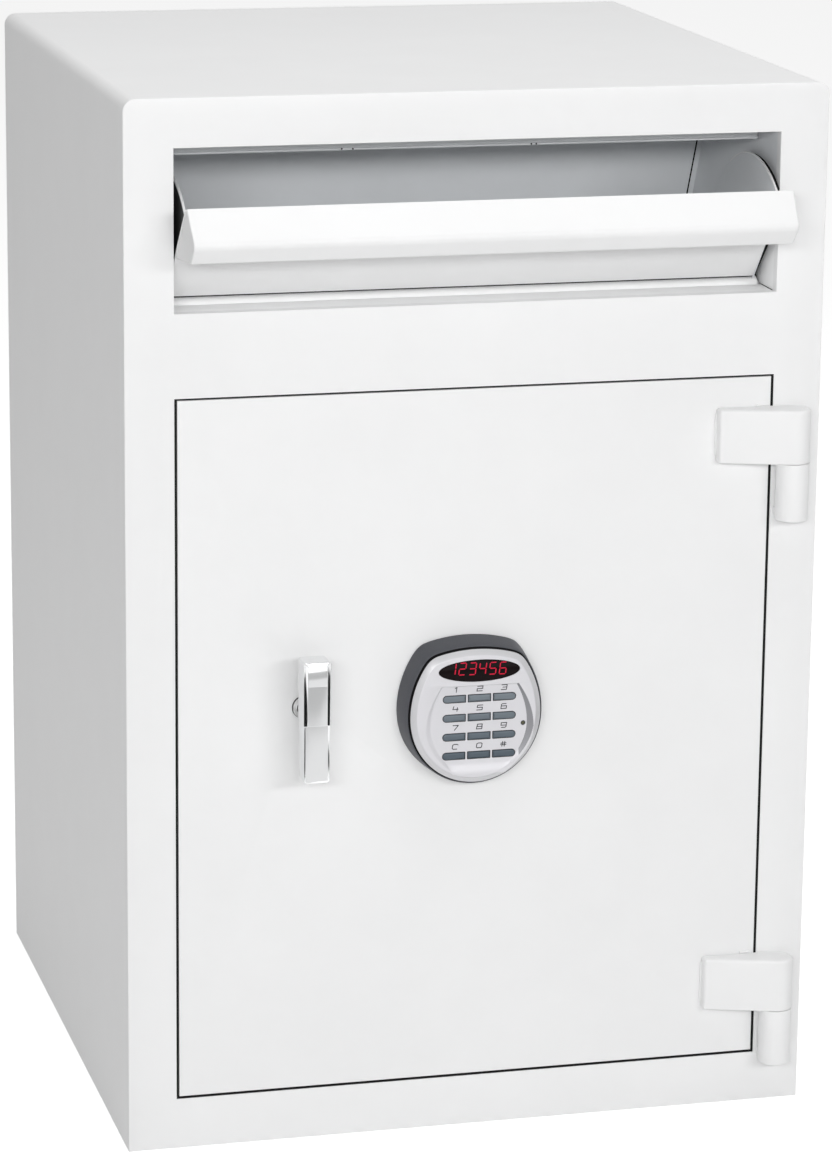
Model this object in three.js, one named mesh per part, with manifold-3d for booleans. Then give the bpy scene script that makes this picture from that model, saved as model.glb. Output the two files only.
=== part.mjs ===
// Deposit safe: a steel cabinet with a tilting deposit hopper in its head, and below it a
// hinged door held by sliding bolts, a lever handle and an electronic keypad lock.
// Millimetres, +Z up. The front faces -Y and the origin is the middle of the underside.
import * as THREE from 'three';
import { mergeVertices } from 'three/addons/utils/BufferGeometryUtils.js';
import Module from 'manifold-3d';

const wasm = await Module();
wasm.setup();

// Cabinet
const cabinetWidth = 508;
const cabinetDepth = 500;
const cabinetHeight = 762;
const wallThickness = 4;
const frontThickness = 8;
const edgeRadius = 9;

// Front face: margins round the hopper mouth and the doorway
const stileWidth = 35.2;
const topRail = 34.4;
const middleRail = 59.1;
const bottomRail = 37.6;
const mouthHeight = 115;

// Clearances
const seam = 0.3; // between pieces fitted against each other
const doorGap = 2; // round the door
const doorSetback = 0.5; // behind the door, in front of the rebate
const runningGap = 0.35; // round rods, pins and bolts that turn or slide

// Rebate frame that the door closes on
const rebateLap = 14;
const rebateHingeLap = 9.8;
const rebateThickness = 6;
const rebateMargin = 12;

// Door hinges: a tapering leaf on the door over a knuckle on the frame
const hingeRadius = 12;
const hingePinRadius = 5;
const hingeInset = 11.7; // pin axis, outside the doorway's edge
const barrelClearance = 1.5; // behind the barrel
const leafLength = 54.2;
const leafEdge = 9;
const leafHeight = 39.4;
const leafCap = 8; // solid top of the leaf above its pin hole
const knuckleHeight = 42.2;
const knuckleFootWidth = 16;
const upperLeafDrop = 62.5; // underside of the upper leaf, below the doorway's top
const lowerLeafRise = 39.6; // underside of the lower leaf, above the doorway's bottom

// Hopper housing
const pivotDepth = 41.8; // rod axis behind the front face
const pivotDrop = 1.5; // rod axis below the sill
const rodRadius = 3.5;
const tubeRadius = 6.3;
const tubeEndGap = 7.8; // between the tube and the jamb
const cheekStep = 1.5; // cheeks stand back from the jambs
const cheekThickness = 2;
const cheekSkirt = 10.6; // cheeks reach below the sill
const sheetThickness = 2;
const sillFlapGap = 0.5;
const sillFold = 12.6;
const headerDrop = 11.6; // the header strip's lower edge below the mouth's top
const headerBehindFlap = 2.2;
const headerLeg = 20;
const baffleLeanDegrees = 25.8;
const baffleEndGap = 5.8;
const baffleClearance = 4;

// Hopper flap, which turns about the rod
const flapTiltDegrees = 44; // how far it leans out when open
const flapTopGap = 3.5;
const flapEndGap = 1.6;
const flapFootGap = 0.7; // between the tube and the sheets
const lipSetback = 0.6; // the closed lip behind the front plate
const lipFrontHeight = 19;
const lipFootRise = 56;
const lipNoseRadius = 3.5;
const lipCrown = 3; // the lip's top rises to its nose
const lipThickness = 2;
const lipEndThickness = 4.5;
const sideThickness = 1.5;
const sideInset = 3; // side plates stand in from the lip's ends
const sideHeadGap = 14.9; // side plates turn under the header strip
const sideBackReach = 67.7;
const sideBackRise = 85.6;
const sideTailReach = 150;
const sideTailRise = 8;
const floorReach = 173;
const floorThickness = 1.2;

// Handle and its drive
const handleInset = 92.6; // spindle axis from the doorway's left edge
const handleRise = 288.4; // spindle axis above the doorway's bottom
const gripWidth = 19.5;
const gripDepth = 20;
const gripTop = 44.3;
const gripBottom = 44;
const gripChamfer = 3;
const gripStep = 2; // the lower half lies behind the upper half
const gripLowerWidth = 18;
const gripLowerChamfer = 1.5;
const gripStandoff = 25; // back of the grip from the door
const neckRadius = 7;
const rosetteRadius = 9;
const rosetteThickness = 2.5;
const spindleSide = 9;
const camPinRadius = 4;
const camThickness = 6;
const camDepth = 14; // front of the cam behind the front face
const camHubRadius = 11;
const boltThrow = 20; // travel of the locking bolts for a quarter turn

// Boltwork on the back of the door
const boltRadius = 10;
const boltDepth = 27; // bolt axis behind the front face
const boltLength = 46;
const boltLead = 8.8; // bolt noses stand back from the rebate when withdrawn
const boltInset = 93; // outer bolts from the doorway's top and bottom
const carrierWidth = 18;
const carrierThickness = 6;
const carrierEndMargin = 10;
const armDrop = 26; // the carrier's arm below and above the spindle
const armRise = 26;
const slotSlack = 0.7;
const guideThickness = 5;
const guideHalfHeight = 16;
const guideFoot = 22;
const guideFootThickness = 4;
const guideInset = 9; // guides behind the bolt noses
const dogArm = 12;
const dogDepth = 25; // front of the fixed dogs behind the front face
const dogReach = 16; // how far they pass behind the rebate
const dogHeight = 40;
const dogFoot = 32;
const dogFootThickness = 6;
const coverMargin = 10.6; // cover inside the rebate
const coverSideMargin = 14.8; // cover inside the rebate, left and right
const coverDepth = 52;
const coverThickness = 1.5;
const coverPlay = 1; // round what passes through the cover

// Electronic lock
const lockWidth = 85;
const lockHeight = 50;
const lockDepth = 36;
const lockWall = 5;
const lockBoltHeight = 20;
const lockBoltThickness = 12;
const lockBoltLength = 40;
const lockBoltThrow = 10;
const lockBoltProud = 10.5;
const batteryHeight = 50;
const batteryDepth = 27;
const cableRadius = 2.5;
const cableHoleRadius = 5;

// Keypad on the front of the door
const keypadInset = 214.7; // keypad centre from the doorway's left edge
const keypadRise = 279.9; // keypad centre above the doorway's bottom
const bezelHalfWidth = 49.1;
const bezelHalfHeight = 50.3;
const bezelSideRadius = 73;
const bezelTopRadius = 104;
const baseFlare = 4.7; // the base is wider than the bezel at the door
const baseLift = 2.4;
const baseFrontFlare = 1.4;
const baseProud = 17;
const baseWall = 2.5;
const bezelProud = 22;
const bezelSkirt = 2.4;
const bezelChamfer = 3.2;
const bezelFace = 3.4;
const panelSink = 2; // the key panel lies below the bezel's face
const panelHalfWidth = 40;
const panelCornerHalfWidth = 30;
const panelTop = 22.5;
const panelBottom = -33.5;
const panelShift = 1.9; // panel, keys and display lie right of the bezel's middle
const displayHalfWidth = 29.9;
const displayHalfHeight = 8;
const displayRise = 34;
const displayThickness = 2;
const keyWidth = 16.9;
const keyHeight = 4.9;
const keyPitchX = 18.5;
const keyPitchZ = 14.05;
const keyTopRise = 13.4; // top row of keys above the bezel's middle
const keyProud = 1.2;
const keyLength = 4.2;
const boardProud = 14;
const boardThickness = 1.5;
const lampRadius = 1.5;
const lampLength = 4;
const lampProud = 0.3;
const lampX = 34.4;
const lampZ = -7;

// Places worked out from the dimensions above
const frontY = -cabinetDepth / 2;
const doorwayHalf = cabinetWidth / 2 - stileWidth;
const doorwayBottom = bottomRail;
const mouthTop = cabinetHeight - topRail;
const sillZ = mouthTop - mouthHeight;
const doorwayTop = sillZ - middleRail;
const doorHalf = doorwayHalf - doorGap;
const doorThickness = frontThickness - doorSetback;
const innerHalf = cabinetWidth / 2 - wallThickness;
const roofZ = cabinetHeight - wallThickness;
const pivotY = frontY + pivotDepth;
const pivotZ = sillZ - pivotDrop;
const cheekInner = doorwayHalf + cheekStep;
const flapTilt = THREE.MathUtils.degToRad(flapTiltDegrees);
const flapHalf = doorwayHalf - flapEndGap;
const sideHalf = flapHalf - sideInset;
const sheetHalf = sideHalf - sideThickness - seam;
const headerY = pivotY + sheetThickness + headerBehindFlap;
const hingeX = doorwayHalf + hingeInset;
const hingeY = frontY - hingeRadius - barrelClearance;
const rebateInner = doorwayHalf - rebateLap;
const rebateHingeInner = doorwayHalf - rebateHingeLap;
const handleX = -doorwayHalf + handleInset;
const handleZ = doorwayBottom + handleRise;
const keypadX = -doorwayHalf + keypadInset;
const keypadZ = doorwayBottom + keypadRise;
const doorBack = frontY + doorThickness + seam;
const boltNose = -rebateInner + boltLead;
const boltY = frontY + boltDepth;
const boltHeights = {
  top: doorwayTop - boltInset,
  middle: (doorwayTop + doorwayBottom) / 2,
  bottom: doorwayBottom + boltInset,
};
const carrierLeft = boltNose + boltLength;
const camPinReach = boltThrow / Math.SQRT2; // a quarter turn carries the pin by the bolts' throw
const carrierY = boltY - carrierThickness / 2;
const lockLeft = keypadX - lockWidth / 2;
const armRight = lockLeft - lockBoltProud - seam;

// Finishes
function finish(color, roughness, metalness) {
  return new THREE.MeshStandardMaterial({ color, roughness, metalness });
}
const whitePaint = finish(0xefeff0, 0.45, 0.1);
const innerPaint = finish(0xd9dadd, 0.5, 0.1);
const bareSteel = finish(0x9a9da1, 0.35, 0.9);
const zincSteel = finish(0xb9bcc0, 0.4, 0.85);
const chrome = finish(0xd8dadc, 0.08, 1);
const darkPlastic = finish(0x4b4c52, 0.6, 0);
const silverPlastic = finish(0xdfe0e4, 0.35, 0.3);
const keyPlastic = finish(0x69737d, 0.4, 0.1);
const blackGloss = finish(0x0b0b0d, 0.1, 0);
const lampPlastic = finish(0x4d4f3c, 0.2, 0);
const boardGreen = finish(0x2d5a3a, 0.6, 0);
const cableBlack = finish(0x1c1c1e, 0.6, 0);

// Turns a closed geometry into a solid that can be cut and joined.
function solid(geometry) {
  const plain = geometry.index ? geometry.clone() : geometry;
  plain.deleteAttribute('normal');
  plain.deleteAttribute('uv');
  const merged = mergeVertices(plain, 1e-4);
  return new wasm.Manifold(new wasm.Mesh({
    numProp: 3,
    vertProperties: new Float32Array(merged.attributes.position.array),
    triVerts: new Uint32Array(merged.index.array),
  }));
}

// Turns a solid back into a geometry.
function shell(body) {
  const mesh = body.getMesh();
  const geometry = new THREE.BufferGeometry();
  geometry.setAttribute('position', new THREE.BufferAttribute(mesh.vertProperties, 3));
  geometry.setIndex(new THREE.BufferAttribute(mesh.triVerts, 1));
  geometry.computeVertexNormals();
  return geometry;
}

// Cuts every tool out of a geometry.
function cut(geometry, tools) {
  return shell(tools.reduce((body, tool) => body.subtract(solid(tool)), solid(geometry)));
}

// Joins several geometries that overlap into one.
function join(geometries) {
  const [first, ...others] = geometries.map(solid);
  return shell(others.reduce((body, other) => body.add(other), first));
}

// A box between two corners.
function box(x0, x1, y0, y1, z0, z1) {
  const geometry = new THREE.BoxGeometry(x1 - x0, y1 - y0, z1 - z0);
  return geometry.translate((x0 + x1) / 2, (y0 + y1) / 2, (z0 + z1) / 2);
}

// Extrudes an outline drawn in X and Z from the plane y0 back to the plane y1.
function extrudeY(shape, y0, y1, curveSegments = 12) {
  const geometry = new THREE.ExtrudeGeometry(shape, { depth: y1 - y0, bevelEnabled: false, curveSegments });
  const axes = new THREE.Matrix4().makeBasis(
    new THREE.Vector3(1, 0, 0), new THREE.Vector3(0, 0, 1), new THREE.Vector3(0, -1, 0));
  return geometry.applyMatrix4(axes).translate(0, y1, 0);
}

// Extrudes an outline drawn in Y and Z from x0 to x1.
function extrudeX(shape, x0, x1, curveSegments = 12) {
  const geometry = new THREE.ExtrudeGeometry(shape, { depth: x1 - x0, bevelEnabled: false, curveSegments });
  const axes = new THREE.Matrix4().makeBasis(
    new THREE.Vector3(0, 1, 0), new THREE.Vector3(0, 0, 1), new THREE.Vector3(1, 0, 0));
  return geometry.applyMatrix4(axes).translate(x0, 0, 0);
}

// Extrudes an outline drawn in X and Y from z0 to z1.
function extrudeZ(shape, z0, z1, curveSegments = 12) {
  const geometry = new THREE.ExtrudeGeometry(shape, { depth: z1 - z0, bevelEnabled: false, curveSegments });
  return geometry.translate(0, 0, z0);
}

// Round bars along each axis.
function barX(radius, x0, x1, sides = 20) {
  return new THREE.CylinderGeometry(radius, radius, x1 - x0, sides).rotateZ(Math.PI / 2)
    .translate((x0 + x1) / 2, 0, 0);
}
function barY(radius, y0, y1, sides = 20) {
  return new THREE.CylinderGeometry(radius, radius, y1 - y0, sides).translate(0, (y0 + y1) / 2, 0);
}
function barZ(radius, z0, z1, sides = 20) {
  return new THREE.CylinderGeometry(radius, radius, z1 - z0, sides).rotateX(Math.PI / 2)
    .translate(0, 0, (z0 + z1) / 2);
}

// A closed outline from a list of points.
function polygon(points) {
  return new THREE.Shape(points.map(([u, v]) => new THREE.Vector2(u, v)));
}

function rectangle(u0, u1, v0, v1) {
  return polygon([[u0, v0], [u1, v0], [u1, v1], [u0, v1]]);
}

function circle(u, v, radius) {
  const path = new THREE.Shape();
  path.absarc(u, v, radius, 0, 2 * Math.PI, false);
  return path;
}

function ellipse(u, v, halfWidth, halfHeight) {
  const path = new THREE.Shape();
  path.absellipse(u, v, halfWidth, halfHeight, 0, 2 * Math.PI, false, 0);
  return path;
}

// A rectangle whose two upper corners are rounded.
function roundTopped(half, bottom, top, radius) {
  const path = new THREE.Shape();
  path.moveTo(-half, bottom);
  path.lineTo(half, bottom);
  path.lineTo(half, top - radius);
  path.absarc(half - radius, top - radius, radius, 0, Math.PI / 2, false);
  path.lineTo(-half + radius, top);
  path.absarc(-half + radius, top - radius, radius, Math.PI / 2, Math.PI, false);
  return path;
}

// Skins a stack of closed outlines, rear to front. Each is a list of X and Z points, counter-clockwise
// seen from the front, and its own Y. Flat fans close both ends.
function loft(sections) {
  const count = sections[0].points.length;
  const positions = [];
  for (const { points, y } of sections) {
    for (const [x, z] of points) positions.push(x, y, z);
  }
  const index = [];
  for (let ring = 0; ring + 1 < sections.length; ring += 1) {
    for (let i = 0; i < count; i += 1) {
      const rear = ring * count + i;
      const rearNext = ring * count + ((i + 1) % count);
      index.push(rear, rearNext, rear + count, rearNext, rearNext + count, rear + count);
    }
  }
  for (const last of [false, true]) {
    const { points, y } = sections[last ? sections.length - 1 : 0];
    const middle = positions.length / 3;
    const sum = points.reduce(([a, b], [x, z]) => [a + x, b + z], [0, 0]);
    positions.push(sum[0] / count, y, sum[1] / count);
    const start = last ? (sections.length - 1) * count : 0;
    for (let i = 0; i < count; i += 1) {
      const here = start + i;
      const next = start + ((i + 1) % count);
      if (last) index.push(middle, here, next);
      else index.push(middle, next, here);
    }
  }
  const geometry = new THREE.BufferGeometry();
  geometry.setAttribute('position', new THREE.Float32BufferAttribute(positions, 3));
  geometry.setIndex(index);
  geometry.computeVertexNormals();
  return geometry;
}

// Makes a named piece and puts it in a group.
function piece(group, name, geometry, material, place = [0, 0, 0]) {
  const mesh = new THREE.Mesh(geometry, material);
  mesh.name = name;
  mesh.position.set(...place);
  group.add(mesh);
  return mesh;
}

// Wrap: both sides and the top, folded from one sheet, behind the front face
function wrapGeometry() {
  const half = cabinetWidth / 2;
  const turnX = half - edgeRadius;
  const turnZ = cabinetHeight - edgeRadius;
  const innerRadius = edgeRadius - wallThickness;
  const path = new THREE.Shape();
  path.moveTo(half, 0);
  path.lineTo(half, turnZ);
  path.absarc(turnX, turnZ, edgeRadius, 0, Math.PI / 2, false);
  path.lineTo(-turnX, cabinetHeight);
  path.absarc(-turnX, turnZ, edgeRadius, Math.PI / 2, Math.PI, false);
  path.lineTo(-half, 0);
  path.lineTo(-innerHalf, 0);
  path.lineTo(-innerHalf, turnZ);
  path.absarc(-turnX, turnZ, innerRadius, Math.PI, Math.PI / 2, true);
  path.lineTo(turnX, roofZ);
  path.absarc(turnX, turnZ, innerRadius, Math.PI / 2, 0, true);
  path.lineTo(innerHalf, 0);
  return extrudeY(path, frontY + frontThickness, cabinetDepth / 2, 8);
}

// Front face: one plate with the hopper mouth and the doorway cut out
function frontGeometry() {
  const path = roundTopped(cabinetWidth / 2, 0, cabinetHeight, edgeRadius);
  path.holes.push(rectangle(-doorwayHalf, doorwayHalf, sillZ, mouthTop));
  path.holes.push(rectangle(-doorwayHalf, doorwayHalf, doorwayBottom, doorwayTop));
  return extrudeY(path, frontY, frontY + frontThickness, 8);
}

// Rebate: a flat frame behind the front face that narrows the doorway
function rebateGeometry() {
  const path = rectangle(-doorwayHalf - rebateMargin, doorwayHalf + rebateMargin,
    doorwayBottom - rebateMargin, doorwayTop + rebateMargin);
  const low = doorwayBottom + rebateLap;
  const high = doorwayTop - rebateLap;
  path.holes.push(rectangle(-rebateInner, rebateHingeInner, low, high));
  const front = frontY + frontThickness;
  return extrudeY(path, front, front + rebateThickness);
}

// Sill: a channel under the mouth, its top level with the mouth's lower edge
function sillGeometry() {
  const front = frontY + frontThickness + seam;
  const back = pivotY - tubeRadius - flapFootGap - sillFlapGap;
  const t = sheetThickness;
  const path = polygon([
    [front, sillZ - sillFold], [front + t, sillZ - sillFold], [front + t, sillZ - t], [back - t, sillZ - t],
    [back - t, sillZ - sillFold], [back, sillZ - sillFold], [back, sillZ], [front, sillZ],
  ]);
  return extrudeX(path, -cheekInner + seam, cheekInner - seam);
}

// Cheek: a side wall of the hopper housing, with a hole for the rod
function cheekGeometry(side) {
  const front = frontY + frontThickness + seam;
  const back = pivotY + floorReach + baffleClearance + sheetThickness;
  const path = rectangle(front, back, sillZ - cheekSkirt, roofZ - seam);
  path.holes.push(circle(pivotY, pivotZ, rodRadius + runningGap));
  const inner = side * cheekInner;
  const outer = side * (cheekInner + cheekThickness);
  return extrudeX(path, Math.min(inner, outer), Math.max(inner, outer), 10);
}

// Header strip: an angle that the closed flap meets, so that nothing can be fished out over it
function headerGeometry() {
  const t = sheetThickness;
  const top = roofZ - seam;
  const path = polygon([
    [headerY, mouthTop - headerDrop], [headerY + t, mouthTop - headerDrop], [headerY + t, top - t],
    [headerY + headerLeg, top - t], [headerY + headerLeg, top], [headerY, top],
  ]);
  return extrudeX(path, -cheekInner + seam, cheekInner - seam);
}

// Baffle: a sheet that leans forward behind the hopper, from the floor's tail up to the roof
function addBaffle(group) {
  const lean = THREE.MathUtils.degToRad(baffleLeanDegrees);
  const footY = pivotY + floorReach + baffleClearance;
  const footZ = pivotZ + floorThickness;
  const rise = roofZ - seam - sheetThickness * Math.sin(lean) - footZ;
  const length = rise / Math.cos(lean);
  const half = doorwayHalf - baffleEndGap;
  const mesh = piece(group, 'hopper_baffle', box(-half, half, -sheetThickness, 0, 0, length), innerPaint,
    [0, footY, footZ + sheetThickness * Math.sin(lean)]);
  mesh.rotation.x = lean;
}

// Rod and tube: the flap's fixed rod from cheek to cheek, and the round tube over it
function tubeGeometry() {
  const path = circle(0, 0, tubeRadius);
  path.holes.push(circle(0, 0, rodRadius + runningGap));
  const half = doorwayHalf - tubeEndGap;
  return extrudeX(path, -half, half, 10);
}

// Knuckle: a round barrel on a narrow foot, bored for the pin, its top at the origin
function knuckleGeometry() {
  const face = hingeRadius + barrelClearance - seam;
  const foot = box(-knuckleFootWidth / 2, knuckleFootWidth / 2, 0, face, -knuckleHeight, 0);
  const barrel = barZ(hingeRadius, -knuckleHeight, 0, 32);
  return cut(join([barrel, foot]), [barZ(hingePinRadius + seam, -knuckleHeight - 1, 1, 24)]);
}

// Leaf: a plate that thickens from its free edge until it runs round the barrel, underside at the origin
function leafGeometry() {
  const doorFace = hingeRadius + barrelClearance;
  const edgeY = doorFace - leafEdge;
  const reach = Math.hypot(leafLength, edgeY);
  const tangent = Math.atan2(edgeY, -leafLength) + Math.acos(hingeRadius / reach);
  const path = new THREE.Shape();
  path.moveTo(0, doorFace - seam);
  path.lineTo(-leafLength, doorFace - seam);
  path.lineTo(-leafLength, edgeY);
  path.lineTo(hingeRadius * Math.cos(tangent), hingeRadius * Math.sin(tangent));
  path.absarc(0, 0, hingeRadius, tangent, 2.5 * Math.PI, false);
  const plate = extrudeZ(path, 0, leafHeight, 24);
  return cut(plate, [barZ(hingePinRadius + runningGap, -1, leafHeight - leafCap, 24)]);
}

// Flap lip: a folded finger pull in front of the panel's top, closed at its ends and open to the panel
function lipOutline(inset) {
  const reach = pivotDepth - frontThickness - lipSetback;
  const top = mouthHeight + pivotDrop - flapTopGap;
  const radius = Math.max(lipNoseRadius - inset, 0.5);
  const front = -reach + inset;
  const crest = top - inset;
  const lower = top - lipFrontHeight + inset * 0.5;
  const path = new THREE.Shape();
  path.moveTo(-seam, top - lipCrown - inset);
  path.lineTo(front + radius, crest);
  path.absarc(front + radius, crest - radius, radius, Math.PI / 2, Math.PI, false);
  path.lineTo(front, lower);
  path.lineTo(-seam, lipFootRise + inset * 1.5);
  return path;
}

function lipGeometry() {
  const outer = extrudeX(lipOutline(0), -flapHalf, flapHalf, 5);
  const hollowHalf = flapHalf - lipEndThickness;
  const inner = extrudeX(lipOutline(lipThickness), -hollowHalf, hollowHalf, 5);
  return cut(outer, [inner.translate(0, seam / 2, 0)]);
}

// Flap side: rounded about the rod so that it turns under the header strip
function flapSideGeometry(side) {
  const radius = mouthHeight + pivotDrop - headerDrop - sideHeadGap;
  const heel = tubeRadius + flapFootGap;
  const path = new THREE.Shape();
  path.absarc(0, 0, heel, Math.PI / 2 + flapTilt, 1.5 * Math.PI, false);
  path.lineTo(sideTailReach, -heel);
  path.lineTo(sideTailReach, sideTailRise);
  path.lineTo(sideBackReach, sideBackRise);
  path.lineTo(0, radius);
  path.absarc(0, 0, radius, Math.PI / 2, Math.PI / 2 + flapTilt, false);
  path.holes.push(circle(0, 0, rodRadius + runningGap));
  const inner = side * (sideHalf - sideThickness);
  const outer = side * sideHalf;
  return extrudeX(path, Math.min(inner, outer), Math.max(inner, outer), 14);
}

function addFlap(group) {
  const flap = new THREE.Group();
  flap.position.set(0, pivotY, pivotZ);
  const front = new THREE.Group();
  front.rotation.x = flapTilt;
  const foot = tubeRadius + flapFootGap;
  const panelTopZ = mouthHeight + pivotDrop - flapTopGap - lipCrown;
  piece(front, 'hopper_panel', box(-sheetHalf, sheetHalf, 0, sheetThickness, foot, panelTopZ), whitePaint);
  piece(front, 'hopper_lip', lipGeometry(), whitePaint);
  piece(flap, 'hopper_tube', tubeGeometry(), whitePaint);
  piece(flap, 'hopper_floor', box(-sheetHalf, sheetHalf, foot, floorReach, -floorThickness, 0), innerPaint);
  piece(flap, 'hopper_side_left', flapSideGeometry(-1), innerPaint);
  piece(flap, 'hopper_side_right', flapSideGeometry(1), innerPaint);
  flap.add(front);
  group.add(flap);
}

function addCabinet(group) {
  piece(group, 'body_wrap', wrapGeometry(), whitePaint);
  piece(group, 'front_face', frontGeometry(), whitePaint);
  const front = frontY + frontThickness + seam;
  const side = innerHalf - seam;
  const back = cabinetDepth / 2;
  piece(group, 'base_plate', box(-side, side, front, back, 0, wallThickness), whitePaint);
  const backPath = roundTopped(side, wallThickness + seam, roofZ - seam, edgeRadius - wallThickness);
  piece(group, 'back_plate', extrudeY(backPath, back - wallThickness, back, 8), whitePaint);
  piece(group, 'door_rebate', rebateGeometry(), whitePaint);
  piece(group, 'hopper_sill', sillGeometry(), innerPaint);
  piece(group, 'hopper_cheek_left', cheekGeometry(-1), innerPaint);
  piece(group, 'hopper_cheek_right', cheekGeometry(1), innerPaint);
  piece(group, 'hopper_header', headerGeometry(), innerPaint);
  addBaffle(group);
  const rodHalf = cheekInner + cheekThickness;
  piece(group, 'hopper_rod', barX(rodRadius, -rodHalf, rodHalf), zincSteel, [0, pivotY, pivotZ]);
}

// Each hinge has a knuckle and a pin on the cabinet, and a leaf on the door that turns round the pin.
function addHinge(cabinet, door, prefix, leafZ) {
  const place = [hingeX, hingeY, leafZ];
  piece(cabinet, `${prefix}_hinge_knuckle`, knuckleGeometry(), whitePaint, [hingeX, hingeY, leafZ - seam]);
  const pinTop = leafHeight - leafCap - seam;
  piece(cabinet, `${prefix}_hinge_pin`, barZ(hingePinRadius, -knuckleHeight, pinTop, 24), bareSteel, place);
  piece(door, `${prefix}_hinge_leaf`, leafGeometry(), whitePaint, place);
}

// Door slab with a hole for the spindle and one for the cable
function slabGeometry() {
  const path = rectangle(-doorHalf, doorHalf, doorwayBottom + doorGap, doorwayTop - doorGap);
  path.holes.push(circle(handleX, handleZ, neckRadius + seam));
  path.holes.push(circle(keypadX, keypadZ, cableHoleRadius));
  return extrudeY(path, frontY, frontY + doorThickness, 10);
}

// Bolt guide: an angle on the door, bored for one locking bolt
function guideGeometry() {
  const left = boltNose + guideInset;
  const half = guideHalfHeight;
  const web = box(left, left + guideThickness, doorBack, boltY + half, -half, half);
  const foot = box(left, left + guideFoot, doorBack, doorBack + guideFootThickness, -half, half);
  const bore = barX(boltRadius + runningGap, left - 1, left + guideThickness + 1, 24).translate(0, boltY, 0);
  return cut(join([web, foot]), [bore]);
}

// Fixed dog: a cranked lug on the door that passes behind the rebate on the hinge side
function dogGeometry() {
  const tip = rebateHingeInner + dogReach;
  const right = rebateHingeInner - coverSideMargin - dogFootThickness;
  const left = right - dogFoot;
  const front = frontY + dogDepth;
  const path = polygon([
    [left, doorBack], [right, doorBack], [right, front], [tip, front], [tip, front + dogArm],
    [right - dogArm, front + dogArm], [right - dogArm, doorBack + dogFootThickness],
    [left, doorBack + dogFootThickness],
  ]);
  return extrudeZ(path, -dogHeight / 2, dogHeight / 2);
}

// Cover: a pan over the boltwork, notched where bolts and dogs pass through its sides
function coverGeometry() {
  const left = -rebateInner + coverSideMargin;
  const right = rebateHingeInner - coverSideMargin;
  const bottom = doorwayBottom + rebateLap + coverMargin;
  const top = doorwayTop - rebateLap - coverMargin;
  const back = frontY + coverDepth;
  const t = coverThickness;
  const pan = box(left, right, doorBack, back, bottom, top);
  const tools = [box(left + t, right - t, doorBack - 1, back - t, bottom + t, top - t)];
  const boltHalf = boltRadius + coverPlay;
  for (const z of Object.values(boltHeights)) {
    tools.push(box(left - 1, left + t + 1, doorBack - 1, boltY + boltHalf, z - boltHalf, z + boltHalf));
  }
  const dogHalf = dogHeight / 2 + coverPlay;
  const dogBack = frontY + dogDepth + dogArm + coverPlay;
  for (const z of [boltHeights.top, boltHeights.bottom]) {
    tools.push(box(right - t - 1, right + 1, doorBack - 1, dogBack, z - dogHalf, z + dogHalf));
  }
  return cut(pan, tools);
}

// Bolt carrier: a flat bar that joins the bolts, with an arm slotted for the cam's pin
function carrierGeometry() {
  const low = boltHeights.bottom - boltRadius - carrierEndMargin;
  const high = boltHeights.top + boltRadius + carrierEndMargin;
  const right = carrierLeft + carrierWidth;
  const path = polygon([
    [carrierLeft, low], [right, low], [right, handleZ - armDrop], [armRight, handleZ - armDrop],
    [armRight, handleZ + armRise], [right, handleZ + armRise], [right, high], [carrierLeft, high],
  ]);
  const slotHalf = camPinRadius + slotSlack;
  const slotX = handleX + boltThrow / 2;
  path.holes.push(rectangle(slotX - slotHalf, slotX + slotHalf,
    handleZ + boltThrow / 2 - slotHalf, handleZ + camPinReach + slotHalf));
  return extrudeY(path, carrierY, carrierY + carrierThickness);
}

// Cam: a short lever on the spindle that carries the pin
function camGeometry() {
  const end = boltThrow / 2;
  const pinEnd = camHubRadius - 2;
  const path = new THREE.Shape();
  path.absarc(0, 0, camHubRadius, 0.75 * Math.PI, 1.75 * Math.PI, false);
  path.absarc(end, end, pinEnd, -0.25 * Math.PI, 0.75 * Math.PI, false);
  const hole = (spindleSide / 2) + seam;
  path.holes.push(rectangle(-hole, hole, -hole, hole));
  path.holes.push(circle(end, end, camPinRadius + seam / 2));
  return extrudeY(path, 0, camThickness, 10);
}

// Grip: a bar whose upper half is a chamfered block and whose lower half lies a step behind, on a round neck
function gripGeometry() {
  const block = (half, low, high, depth, chamfer) => loft([
    { y: 0, points: corners(half, low, high) },
    { y: -depth + chamfer, points: corners(half, low, high) },
    { y: -depth, points: corners(half - chamfer, low + chamfer, high - chamfer) },
  ]);
  const corners = (half, low, high) => [[-half, low], [half, low], [half, high], [-half, high]];
  const upper = block(gripWidth / 2, -gripChamfer, gripTop, gripDepth, gripChamfer);
  const lower = block(gripLowerWidth / 2, -gripBottom, gripChamfer, gripDepth - gripStep, gripLowerChamfer);
  const neckEnd = gripStandoff - seam;
  const neck = barY(neckRadius - runningGap, -1, neckEnd, 24);
  const half = spindleSide / 2 + seam / 2;
  const socket = box(-half, half, neckRadius, neckEnd + 1, -half, half);
  return cut(join([upper, lower, neck]), [socket]);
}

function rosetteGeometry() {
  const path = circle(0, 0, rosetteRadius);
  path.holes.push(circle(0, 0, neckRadius));
  return extrudeY(path, -rosetteThickness - seam, -seam, 14);
}

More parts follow.
